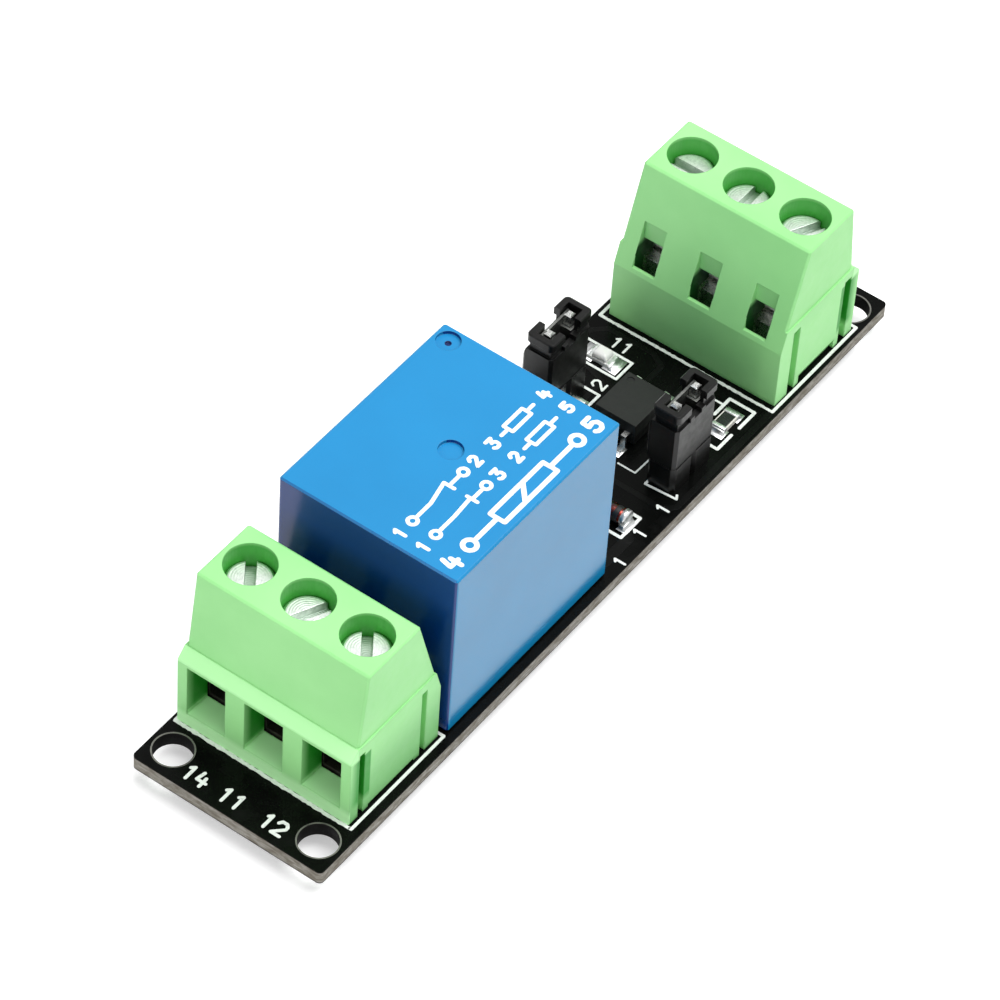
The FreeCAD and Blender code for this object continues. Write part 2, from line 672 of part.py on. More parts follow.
def relay_yoke():
    """The bent iron yoke: a foot under the coil and an upright behind it."""
    half = YOKE_WIDTH / 2
    profile = [
        (YOKE_FOOT_FRONT, RELAY_FLOOR),
        (YOKE_BACK, RELAY_FLOOR),
        (YOKE_BACK, YOKE_TOP),
        (YOKE_FRONT, YOKE_TOP),
        (YOKE_FRONT, YOKE_FOOT_TOP),
        (YOKE_FOOT_FRONT, YOKE_FOOT_TOP),
    ]
    yoke = prism_along_x(profile, -half, half)
    rivet_hole = cylinder(0, CORE_FROM_END, CORE_RADIUS, RELAY_FLOOR - OVERCUT, YOKE_FOOT_TOP + OVERCUT)
    return yoke.cut(rivet_hole)


def relay_core():
    """The iron core, riveted through the yoke, with a wider pole face."""
    stem = cylinder(0, CORE_FROM_END, CORE_RADIUS, RELAY_FLOOR, BOBBIN_TOP)
    pole = cylinder(0, CORE_FROM_END, POLE_RADIUS, BOBBIN_TOP, POLE_TOP)
    return fuse([stem, pole])


def relay_bobbin():
    """The moulded bobbin: a tube between two square flanges."""
    lower = YOKE_FOOT_TOP + BOBBIN_FLANGE
    upper = BOBBIN_TOP - BOBBIN_FLANGE
    size = BOBBIN_FLANGE_SIZE
    flanges = [
        centred_box(0, CORE_FROM_END, size, size, YOKE_FOOT_TOP, lower),
        centred_box(0, CORE_FROM_END, size, size, upper, BOBBIN_TOP),
    ]
    tube = cylinder(0, CORE_FROM_END, CORE_RADIUS + BOBBIN_WALL, lower, upper)
    bore = cylinder(0, CORE_FROM_END, CORE_RADIUS, YOKE_FOOT_TOP - OVERCUT, BOBBIN_TOP + OVERCUT)
    return fuse(flanges + [tube]).cut(bore)


def relay_coil():
    """The copper winding on the bobbin."""
    lower = YOKE_FOOT_TOP + BOBBIN_FLANGE
    upper = BOBBIN_TOP - BOBBIN_FLANGE
    winding = cylinder(0, CORE_FROM_END, COIL_RADIUS, lower, upper)
    tube = cylinder(0, CORE_FROM_END, CORE_RADIUS + BOBBIN_WALL, lower - OVERCUT, upper + OVERCUT)
    return winding.cut(tube)


def relay_armature():
    """The iron plate that tips on the yoke's upper edge."""
    back, nose = ARMATURE_WIDTH / 2, ARMATURE_NOSE_WIDTH / 2
    outline = [(-back, YOKE_BACK), (back, YOKE_BACK), (nose, ARMATURE_FRONT), (-nose, ARMATURE_FRONT)]
    return prism_upwards(outline, ARMATURE_BOTTOM, ARMATURE_TOP)


def relay_blade():
    """The springy contact blade on the armature, with its tail behind the yoke."""
    wide, narrow = BLADE_WIDTH / 2, BLADE_TIP_WIDTH / 2
    front = BUTTON_FROM_END - BLADE_TIP_WIDTH / 2
    outline = [
        (-wide, BLADE_TAIL_BACK),
        (wide, BLADE_TAIL_BACK),
        (wide, ARMATURE_FRONT),
        (narrow, front),
        (-narrow, front),
        (-wide, ARMATURE_FRONT),
    ]
    flat = prism_upwards(outline, ARMATURE_TOP, BLADE_TOP)
    tail_bottom = ARMATURE_TOP - BLADE_TAIL_DROP
    tail = box(-wide, wide, BLADE_TAIL_FRONT, BLADE_TAIL_BACK, tail_bottom, ARMATURE_TOP)
    rivet_hole = cylinder(0, BUTTON_FROM_END, BUTTON_RADIUS, ARMATURE_TOP - OVERCUT, BLADE_TOP + OVERCUT)
    return fuse([flat, tail]).cut(rivet_hole)


def relay_moving_contact():
    """The double-faced contact button set through the blade's tip."""
    bottom, top = ARMATURE_TOP - BUTTON_HEIGHT, BLADE_TOP + BUTTON_HEIGHT
    return cylinder(0, BUTTON_FROM_END, BUTTON_RADIUS, bottom, top)


def fixed_contact(pin_name, side, strip_bottom, button_bottom):
    """A stamped strip: its pin, the upright leg and the arm that carries a contact button."""
    leg_half = STRIP_THICKNESS / 2
    leg_x = side * PIN_ROW_X
    strip_top = strip_bottom + STRIP_THICKNESS
    pin = relay_pin_bar(pin_name, RELAY_FLOOR)
    leg = box(
        leg_x - leg_half,
        leg_x + leg_half,
        CONTACT_PIN_FROM_END - RELAY_PIN_WIDTH / 2,
        BUTTON_FROM_END + STRIP_WIDTH / 2,
        RELAY_FLOOR,
        strip_top,
    )
    arm_x = sorted((leg_x + side * leg_half, -side * STRIP_OVERRUN))
    arm = box(
        arm_x[0],
        arm_x[1],
        CONTACT_PIN_FROM_END - RELAY_PIN_WIDTH / 2,
        BUTTON_FROM_END + STRIP_WIDTH / 2,
        strip_bottom,
        strip_top,
    )
    button = cylinder(0, BUTTON_FROM_END, BUTTON_RADIUS, button_bottom, button_bottom + BUTTON_HEIGHT)
    return fuse([pin, leg, arm, button])


def make_relay(x, y):
    """The placed relay. Returns its pin places."""
    closed = fixed_contact("closed", 1, CLOSED_STRIP_BOTTOM, CLOSED_STRIP_BOTTOM - BUTTON_HEIGHT)
    opened = fixed_contact("open", -1, OPEN_STRIP_TOP - STRIP_THICKNESS, OPEN_STRIP_TOP)
    coil_pins = Part.makeCompound([
        relay_pin_bar(name, COIL_PIN_TOP) for name in ("coil_start", "coil_end")
    ])
    pieces = {
        "relay_base": relay_base(),
        "relay_cover": relay_cover(),
        "relay_yoke": relay_yoke(),
        "relay_core": relay_core(),
        "relay_bobbin": relay_bobbin(),
        "relay_coil": relay_coil(),
        "relay_armature": relay_armature(),
        "relay_blade": relay_blade(),
        "relay_moving_contact": relay_moving_contact(),
        "relay_closed_contact": closed,
        "relay_open_contact": opened,
        "relay_coil_pins": coil_pins,
        "relay_common_pin": relay_pin_bar("common", RELAY_FLOOR),
    }
    for name, shape in pieces.items():
        save(name, moved(shape, x, y, BOARD_TOP))
    return [(x + px, y + py, width, length) for px, py, width, length in relay_pins().values()]


# Jumper headers

def header_pin_offsets():
    """The pins' y places about the header's middle."""
    return [(pin - (HEADER_PINS - 1) / 2) * HEADER_PITCH for pin in range(HEADER_PINS)]


def header_base():
    """The moulded strip, notched between its pins."""
    half_width = HEADER_WIDTH / 2
    length = HEADER_PINS * HEADER_PITCH
    body = centred_box(0, 0, HEADER_WIDTH, length, 0, HEADER_BASE_HEIGHT)
    ends = [(pin - HEADER_PINS / 2) * HEADER_PITCH for pin in range(HEADER_PINS + 1)]
    notches = []
    for side in (-1, 1):
        face = side * half_width
        for y in ends:
            notches.append(prism_upwards(
                [
                    (face + side * OVERCUT, y - HEADER_NOTCH - OVERCUT),
                    (face + side * OVERCUT, y + HEADER_NOTCH + OVERCUT),
                    (face - side * HEADER_NOTCH, y),
                ],
                -OVERCUT,
                HEADER_BASE_HEIGHT + OVERCUT,
            ))
    pins = [header_pin(y) for y in header_pin_offsets()]
    return body.cut(notches).cut(pins)


def header_pin(y):
    """One square pin, pointed at its top."""
    half = HEADER_PIN_SIZE / 2
    bar = box(-half, half, y - half, y + half, -BOARD_TOP, HEADER_PIN_TOP)
    return bar.makeChamfer(HEADER_PIN_POINT, edges_at_height(bar, HEADER_PIN_TOP))


def jumper_cap():
    """The moulded cap: a body that bulges at the clip's side, a neck, and a rim with two open-sided
    lips, all slotted for the clip."""
    low = HEADER_BASE_HEIGHT + CAP_SEAT_GAP
    high = low + CAP_HEIGHT
    rim_bottom = high - CAP_RIM_HEIGHT
    neck_bottom = rim_bottom - CAP_NECK_HEIGHT
    neck_width, neck_length = CAP_WIDTH - 2 * CAP_NECK_INSET, CAP_LENGTH - 2 * CAP_NECK_INSET
    rim = rounded_upright_edges(
        centred_box(0, 0, CAP_WIDTH, CAP_LENGTH, rim_bottom, high), CAP_CORNER_RADIUS
    )
    rim = rim.makeChamfer(CAP_EDGE_CHAMFER, edges_at_height(rim, high))
    neck = centred_box(0, 0, neck_width, neck_length, neck_bottom, rim_bottom)
    half_width = CAP_WIDTH / 2 - CAP_BODY_INSET
    half_length = CAP_LENGTH / 2 - CAP_BODY_INSET
    bulge = [
        (half_width, low),
        (half_width, neck_bottom),
        (-half_width, neck_bottom),
        (-half_width - CAP_BULGE, neck_bottom - CAP_BULGE_RISE),
        (-half_width - CAP_BULGE, low + CAP_BULGE_RISE),
        (-half_width, low),
    ]
    lower = prism_along_y(bulge, -half_length, half_length)
    lower = lower.makeChamfer(
        CAP_NECK_INSET, [edge for edge in lower.Edges if is_along(edge, Vector(0, 0, 1))]
    )
    body = fuse([rim, neck, lower])
    slot_length = CAP_LENGTH - 2 * CAP_SLOT_END_WALL
    slot = centred_box(0, 0, CAP_SLOT_WIDTH, slot_length, low - OVERCUT, high + OVERCUT)
    gap_length = CAP_LENGTH - 2 * CAP_LIP_LENGTH
    gap = centred_box(0, 0, CAP_WIDTH + OVERCUT, gap_length, high - CAP_LIP_HEIGHT, high + OVERCUT)
    lug_x = (CAP_WIDTH + CAP_SLOT_WIDTH) / 4
    lug_y = gap_length / 2 - CAP_LUG_LENGTH / 2
    lug_floor = high - CAP_LIP_HEIGHT
    lugs = [
        centred_box(
            lug_x,
            side * lug_y,
            (CAP_WIDTH - CAP_SLOT_WIDTH) / 2,
            CAP_LUG_LENGTH,
            lug_floor,
            lug_floor + CAP_LUG_HEIGHT,
        )
        for side in (-1, 1)
    ]
    return fuse([body.cut([slot, gap])] + lugs)


def jumper_clip():
    """The bent contact clip inside a cap: a sleeve round each pin and a bridge along one side."""
    low = HEADER_BASE_HEIGHT + CAP_SEAT_GAP + CLIP_BOTTOM
    sleeve_top = low + CLIP_SLEEVE_HEIGHT
    top = HEADER_BASE_HEIGHT + CAP_SEAT_GAP + CAP_HEIGHT - CLIP_BRIDGE_BELOW_TOP
    inner = HEADER_PIN_SIZE + 2 * CLIP_PIN_CLEARANCE
    outer = inner + 2 * CLIP_THICKNESS
    bridge_x = -(inner + CLIP_THICKNESS) / 2
    span = HEADER_PITCH * (HEADER_PINS - 1) + outer
    sleeves = [
        centred_box(0, y, outer, outer, low, sleeve_top).cut(
            centred_box(0, y, inner, inner, low - OVERCUT, sleeve_top + OVERCUT)
        )
        for y in header_pin_offsets()
    ]
    upright = [
        centred_box(bridge_x, y, CLIP_THICKNESS, outer, low, top) for y in header_pin_offsets()
    ]
    bridge = centred_box(bridge_x, 0, CLIP_THICKNESS, span, top - CLIP_BRIDGE_HEIGHT, top)
    return fuse(sleeves + upright + [bridge])


def make_jumper(name, x, y):
    """One placed header with its cap. Returns its pin places."""
    pins = Part.makeCompound([header_pin(offset) for offset in header_pin_offsets()])
    pieces = {
        "jumper_header_": header_base(),
        "header_pins_": pins,
        "jumper_cap_": jumper_cap(),
        "jumper_clip_": jumper_clip(),
    }
    for prefix, shape in pieces.items():
        save(prefix + name, moved(shape, x, y, BOARD_TOP))
    return [(x, y + offset, HEADER_PIN_SIZE, HEADER_PIN_SIZE) for offset in header_pin_offsets()]


# Small parts

def status_led():
    """A surface-mount lamp: a flat carrier with a raised clear lens."""
    carrier = centred_box(0, 0, LED_LENGTH, LED_WIDTH, 0, LED_BASE_HEIGHT)
    lens = centred_box(0, 0, LED_LENS_LENGTH, LED_WIDTH, LED_BASE_HEIGHT, LED_BASE_HEIGHT + LED_LENS_HEIGHT)
    lens = lens.makeChamfer(LED_LENS_HEIGHT / 3, edges_at_height(lens, LED_BASE_HEIGHT + LED_LENS_HEIGHT))
    return fuse([carrier, lens])


def chip_resistor():
    """A ceramic chip with metal end caps, lying along y."""
    body = centred_box(0, 0, CHIP_WIDTH, CHIP_LENGTH, CHIP_CAP_STEP, CHIP_HEIGHT)
    cap_middle = (CHIP_LENGTH - CHIP_CAP) / 2 + CHIP_CAP_STEP
    caps = [
        centred_box(0, side * cap_middle, CHIP_WIDTH, CHIP_CAP, 0, CHIP_HEIGHT + CHIP_CAP_STEP)
        for side in (-1, 1)
    ]
    return fuse([body] + caps)


def gull_wing(x, edge, side, reach, height):
    """A lead that leaves a body's edge at a height, drops and ends in a foot."""
    tip = edge + reach
    knee = tip - LEAD_FOOT
    upper = height + LEAD_THICKNESS
    profile = [
        (edge, height),
        (knee - LEAD_THICKNESS, height),
        (knee - LEAD_THICKNESS, 0),
        (tip, 0),
        (tip, LEAD_THICKNESS),
        (knee, LEAD_THICKNESS),
        (knee, upper),
        (edge, upper),
    ]
    return prism_along_x([(side * y, z) for y, z in profile], x - LEAD_WIDTH / 2, x + LEAD_WIDTH / 2)


def optocoupler():
    """The four-leaded package, with drafted sides and a round mark at its first pin."""
    z0, z1 = OPTO_STANDOFF, OPTO_STANDOFF + OPTO_HEIGHT
    middle = OPTO_LEAD_HEIGHT + LEAD_THICKNESS / 2

    def outline(z, inset):
        half_x, half_y = OPTO_WIDTH / 2 - inset, OPTO_LENGTH / 2 - inset
        corners = [(-half_x, -half_y), (half_x, -half_y), (half_x, half_y), (-half_x, half_y)]
        return [Vector(x, y, z) for x, y in corners]

    lower = flat_sided(outline(z0, OPTO_DRAFT), outline(middle, 0))
    upper = flat_sided(outline(middle, 0), outline(z1, OPTO_DRAFT))
    mark = cylinder(
        -OPTO_WIDTH / 2 + OPTO_PIN_ONE_DIAMETER + OPTO_DRAFT,
        OPTO_LENGTH / 2 - OPTO_PIN_ONE_DIAMETER - OPTO_DRAFT,
        OPTO_PIN_ONE_DIAMETER / 2,
        z1 - OPTO_PIN_ONE_DEPTH,
        z1 + OVERCUT,
    )
    return fuse([lower, upper]).cut(mark)


def optocoupler_leads():
    """The package's four leads."""
    half_pitch = HEADER_PITCH / 2
    return Part.makeCompound([
        gull_wing(x, OPTO_LENGTH / 2, side, OPTO_LEAD_REACH, OPTO_LEAD_HEIGHT)
        for x in (-half_pitch, half_pitch)
        for side in (-1, 1)
    ])


def drive_transistor():
    """A small three-leaded transistor."""
    body = centred_box(
        0, 0, TRANSISTOR_LENGTH, TRANSISTOR_WIDTH, OPTO_STANDOFF, OPTO_STANDOFF + TRANSISTOR_HEIGHT
    )
    half_pitch = TRANSISTOR_LEAD_PITCH / 2
    edge = TRANSISTOR_WIDTH / 2
    reach = TRANSISTOR_LEAD_REACH + LEAD_FOOT
    leads = [gull_wing(x, edge, -1, reach, TRANSISTOR_LEAD_HEIGHT) for x in (-half_pitch, half_pitch)]
    leads.append(gull_wing(0, edge, 1, reach, TRANSISTOR_LEAD_HEIGHT))
    return fuse([body] + leads)


def flyback_diode():
    """A glass diode with metal end caps, lying along x."""
    radius = DIODE_DIAMETER / 2
    half = DIODE_LENGTH / 2
    axis = Vector(1, 0, 0)
    glass_start = Vector(DIODE_CAP - half, 0, radius)
    glass = Part.makeCylinder(DIODE_GLASS_DIAMETER / 2, DIODE_LENGTH - 2 * DIODE_CAP, glass_start, axis)
    caps = [
        Part.makeCylinder(radius, DIODE_CAP, Vector(start, 0, radius), axis)
        for start in (-half, half - DIODE_CAP)
    ]
    return fuse([glass] + caps)


def make_small_parts():
    """Everything that is soldered flat on the board's top face."""
    side = BOARD_WIDTH / 2
    driver_row = END_Y + RELAY_FROM_END + RELAY_LENGTH + DRIVER_ROW_BEHIND_RELAY
    places = {
        "status_led": (status_led(), LED_FROM_SIDE - side, before_block(LED_BEFORE_BLOCK)),
        "input_resistor": (
            chip_resistor(), side - INPUT_RESISTOR_FROM_SIDE, before_block(INPUT_RESISTOR_BEFORE_BLOCK)
        ),
        "led_resistor": (chip_resistor(), LED_RESISTOR_X, before_block(LED_RESISTOR_BEFORE_BLOCK)),
        "base_resistor": (chip_resistor(), BASE_RESISTOR_FROM_SIDE - side, driver_row),
        "optocoupler": (optocoupler(), OPTO_X, before_block(OPTO_BEFORE_BLOCK)),
        "optocoupler_leads": (optocoupler_leads(), OPTO_X, before_block(OPTO_BEFORE_BLOCK)),
        "drive_transistor": (drive_transistor(), TRANSISTOR_X, driver_row),
        "flyback_diode": (flyback_diode(), side - DIODE_FROM_SIDE, driver_row),
    }
    for name, (shape, x, y) in places.items():
        save(name, moved(shape, x, y, BOARD_TOP))


# Board and solder

def pin_hole_radius(width, length):
    """The plated hole that a pin of this section needs."""
    return math.hypot(width, length) / 2 + PIN_HOLE_CLEARANCE


def circuit_board(pin_places):
    """The board with its four mounting holes and a hole for every pin."""
    board = centred_box(0, 0, BOARD_WIDTH, BOARD_LENGTH, PIN_TAIL, BOARD_TOP)
    board = rounded_upright_edges(board, BOARD_CORNER_RADIUS)
    hole_x = BOARD_WIDTH / 2 - MOUNT_HOLE_FROM_SIDE
    hole_y = BOARD_LENGTH / 2 - MOUNT_HOLE_FROM_END
    holes = [
        cylinder(sx * hole_x, sy * hole_y, MOUNT_HOLE_DIAMETER / 2, PIN_TAIL - OVERCUT, BOARD_TOP + OVERCUT)
        for sx in (-1, 1)
        for sy in (-1, 1)
    ]
    for x, y, width, length in pin_places:
        radius = pin_hole_radius(width, length)
        holes.append(polygon_bar(x, y, radius, radius, PIN_TAIL - OVERCUT, BOARD_TOP + OVERCUT))
    return board.cut(holes)


def solder_joint(x, y, width, length):
    """The solder of one pin: it fills the hole and rises in a cone under the board."""
    radius = pin_hole_radius(width, length)
    barrel = polygon_bar(x, y, radius, radius, PIN_TAIL, BOARD_TOP)
    foot = max(SOLDER_FOOT_RADIUS, radius + PIN_HOLE_CLEARANCE)
    tip = max(SOLDER_TIP_RADIUS, radius - PIN_HOLE_CLEARANCE / 2)
    fillet = polygon_bar(x, y, tip, foot, PIN_TAIL - SOLDER_HEIGHT, PIN_TAIL)
    pin = centred_box(x, y, width, length, -OVERCUT, BOARD_TOP + OVERCUT)
    return fuse([barrel, fillet]).cut(pin)


def main():
    os.makedirs("parts", exist_ok=True)
    pins = make_terminal_block(
        "output", OUTPUT_BLOCK_X, END_Y + OUTPUT_BLOCK_FROM_END, 0, OUTPUT_SLOT_ANGLES
    )
    pins += make_terminal_block(
        "input", INPUT_BLOCK_X, -END_Y - INPUT_BLOCK_FROM_END, 180, INPUT_SLOT_ANGLES
    )
    pins += make_relay(RELAY_X, END_Y + RELAY_FROM_END)
    pins += make_jumper("left", -HEADER_X, before_block(HEADER_BEFORE_BLOCK))
    pins += make_jumper("right", HEADER_X, before_block(HEADER_BEFORE_BLOCK))
    make_small_parts()
    save("circuit_board", circuit_board(pins))
    save("solder_joints", Part.makeCompound([solder_joint(*place) for place in pins]))


main()
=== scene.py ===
"""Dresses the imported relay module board: materials for every CAD node, printed marks, solder, traces,
detailed small parts, and the studio with the photograph's camera. Lengths are in millimetres until
they reach Blender."""
import itertools
import json
import math
import random

import bmesh
import bpy
from mathutils import Matrix, Vector


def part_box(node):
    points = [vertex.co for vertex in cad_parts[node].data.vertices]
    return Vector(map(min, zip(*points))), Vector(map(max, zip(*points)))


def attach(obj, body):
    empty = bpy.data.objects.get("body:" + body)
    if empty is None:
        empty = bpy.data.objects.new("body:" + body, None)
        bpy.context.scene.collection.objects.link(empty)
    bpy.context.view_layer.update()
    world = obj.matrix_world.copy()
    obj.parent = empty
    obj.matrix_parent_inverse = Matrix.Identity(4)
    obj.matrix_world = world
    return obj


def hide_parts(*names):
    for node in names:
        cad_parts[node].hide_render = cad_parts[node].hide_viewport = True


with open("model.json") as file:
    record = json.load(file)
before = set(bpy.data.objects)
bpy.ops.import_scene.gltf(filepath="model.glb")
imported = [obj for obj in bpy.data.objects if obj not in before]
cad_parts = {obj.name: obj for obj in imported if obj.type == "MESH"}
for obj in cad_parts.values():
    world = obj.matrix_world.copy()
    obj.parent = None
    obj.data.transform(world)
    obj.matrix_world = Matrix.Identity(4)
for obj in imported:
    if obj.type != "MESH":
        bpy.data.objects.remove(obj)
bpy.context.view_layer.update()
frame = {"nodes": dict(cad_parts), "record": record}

MM = 0.001
NODES = frame["nodes"]
SLOTS = {row["node"]: row["material_slot"] for row in frame["record"]["subparts"]}

BOARD_TOP = 2.7
BOARD_BOTTOM = 1.5
HALF_WIDTH = 8.4
HALF_LENGTH = 35.3
HOLE_X = 6.45
HOLE_FROM_END = 2.25
HOLE_RADIUS = 1.5
# Thickness of copper and ink above the board, and how far both reach into it
COPPER = 0.02
INK = 0.04
SUNK = 0.01
INK_WIDTH = 0.23

# Each terminal block's own frame: its middle x, its wire face's y, and which way its own y runs
BLOCKS = {"output_terminal_housing": (-0.36, -30.7, 1), "input_terminal_housing": (0.12, 31.2, -1)}
PITCH = 5.08
SCREW_INWARD = 4.75
SCREW_TOP = 15.4
WELL_RADIUS = 1.98

# The vent's pinhole in the relay's top, and its radius
VENT = (-6.55, -1.9, 18.6)
VENT_RADIUS = 0.26
RESISTORS = ("input_resistor", "led_resistor", "base_resistor")


def box_mm(node):
    """A CAD node's lowest and highest corners, in millimetres."""
    low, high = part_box(node)
    return low / MM, high / MM


# ---------------------------------------------------------------- materials

class Shader:
    """One node material in the making, with its Principled surface."""

    def __init__(self, name, **sockets):
        self.material = bpy.data.materials.new(name)
        self.material.use_nodes = True
        self.tree = self.material.node_tree
        self.surface = self.tree.nodes["Principled BSDF"]
        for socket, value in sockets.items():
            self.surface.inputs[socket.replace("_", " ")].default_value = value
        self.place = self.node("ShaderNodeTexCoord").outputs["Object"]

    def node(self, kind, inputs=None, **settings):
        made = self.tree.nodes.new(kind)
        for key, value in settings.items():
            setattr(made, key, value)
        for key, value in (inputs or {}).items():
            self.feed(made.inputs[key], value)
        return made

    def feed(self, socket, value):
        """Link an output to a socket, or give the socket a plain value."""
        if isinstance(value, bpy.types.NodeSocket):
            self.tree.links.new(value, socket)
        else:
            socket.default_value = (*value, 1) if socket.type == "RGBA" else value

    def stretched(self, scale, shift=(0.0, 0.0, 0.0)):
        """The object's coordinates, moved by shift and scaled along each axis."""
        inputs = {"Vector": self.place, "Location": shift, "Scale": scale}
        return self.node("ShaderNodeMapping", inputs).outputs["Vector"]

    def noise(self, per_mm, detail=3.0, roughness=0.5, vector=None):
        inputs = {"Vector": vector or self.place, "Scale": per_mm / MM}
        inputs.update({"Detail": detail, "Roughness": roughness})
        return self.node("ShaderNodeTexNoise", inputs).outputs["Fac"]

    def ramp(self, factor, stops):
        """A value or colour ramp; stops are (place, grey or colour)."""
        ramp = self.node("ShaderNodeValToRGB", {"Fac": factor})
        points = ramp.color_ramp.elements
        while len(points) < len(stops):
            points.new(0.5)
        for point, (position, value) in zip(points, stops):
            point.position = position
            point.color = (*value, 1) if isinstance(value, tuple) else (value, value, value, 1)
        return ramp.outputs["Color"]

    def math(self, operation, a, b=0.0, c=0.0):
        return self.node("ShaderNodeMath", {0: a, 1: b, 2: c}, operation=operation).outputs[0]

    def square(self, value):
        return self.math("MULTIPLY", value, value)

    def all_of(self, first, *others):
        """The product of factors that go from 0 to 1."""
        for other in others:
            first = self.math("MULTIPLY", first, other)
        return first

    def above(self, value, limit):
        return self.math("GREATER_THAN", value, limit)

    def below(self, value, limit):
        return self.math("LESS_THAN", value, limit)

    def fade(self, value, reach, stops):
        """A ramp over a length from 0 to reach; stops are (length, grey or colour)."""
        share = self.math("MULTIPLY", value, 1 / reach)
        return self.ramp(share, [(length / reach, shade) for length, shade in stops])

    def blend(self, factor, a, b):
        """A colour that goes from a to b as factor goes from 0 to 1."""
        mix = self.node("ShaderNodeMix", data_type="RGBA")
        for name, kind, value in (("Factor", "VALUE", factor), ("A", "RGBA", a), ("B", "RGBA", b)):
            self.feed(next(s for s in mix.inputs if s.name == name and s.type == kind), value)
        return next(s for s in mix.outputs if s.type == "RGBA")

    def axis(self, index):
        """One of the surface point's coordinates in the object, in metres."""
        return self.node("ShaderNodeSeparateXYZ", {0: self.place}).outputs[index]

    def facing(self, index):
        """How far the surface faces along one of the object's axes, -1 to 1."""
        normal = self.node("ShaderNodeTexCoord").outputs["Normal"]
        return self.node("ShaderNodeSeparateXYZ", {0: normal}).outputs[index]

    def colour(self, socket):
        self.tree.links.new(socket, self.surface.inputs["Base Color"])

    def roughness(self, socket):
        self.tree.links.new(socket, self.surface.inputs["Roughness"])

    def relief(self, height, distance_mm, edge_mm=0.0):
        """Bump from a height, over edges rounded by edge_mm."""
        inputs = {"Height": height, "Distance": distance_mm * MM}
        if edge_mm:
            bevel = self.node("ShaderNodeBevel", {"Radius": edge_mm * MM}, samples=6)
            inputs["Normal"] = bevel.outputs[0]
        bump = self.node("ShaderNodeBump", inputs)
        self.tree.links.new(bump.outputs[0], self.surface.inputs["Normal"])


def srgb(red, green, blue):
    """A colour as it is seen on screen, 0 to 255, in the linear values that shaders take."""
    shares = [part / 255 for part in (red, green, blue)]
    return tuple(((c + 0.055) / 1.055) ** 2.4 if c > 10 / 255 else c / 12.92 for c in shares)


def moulded(name, deep, base, rough, edge_mm, grain_mm=0.004, **sockets):
    """Moulded plastic: a fine texture, slow changes of tone and softly rounded edges."""
    s = Shader(name, **sockets)
    slow = s.noise(0.12, 4.0)
    s.colour(s.ramp(slow, [(0.3, deep), (0.65, base)]))
    s.roughness(s.ramp(s.noise(1.5, 4.0), [(0.3, rough[0]), (0.7, rough[1])]))
    fine = s.noise(14.0, 2.0)
    s.relief(fine, grain_mm, edge_mm)
    return s.material


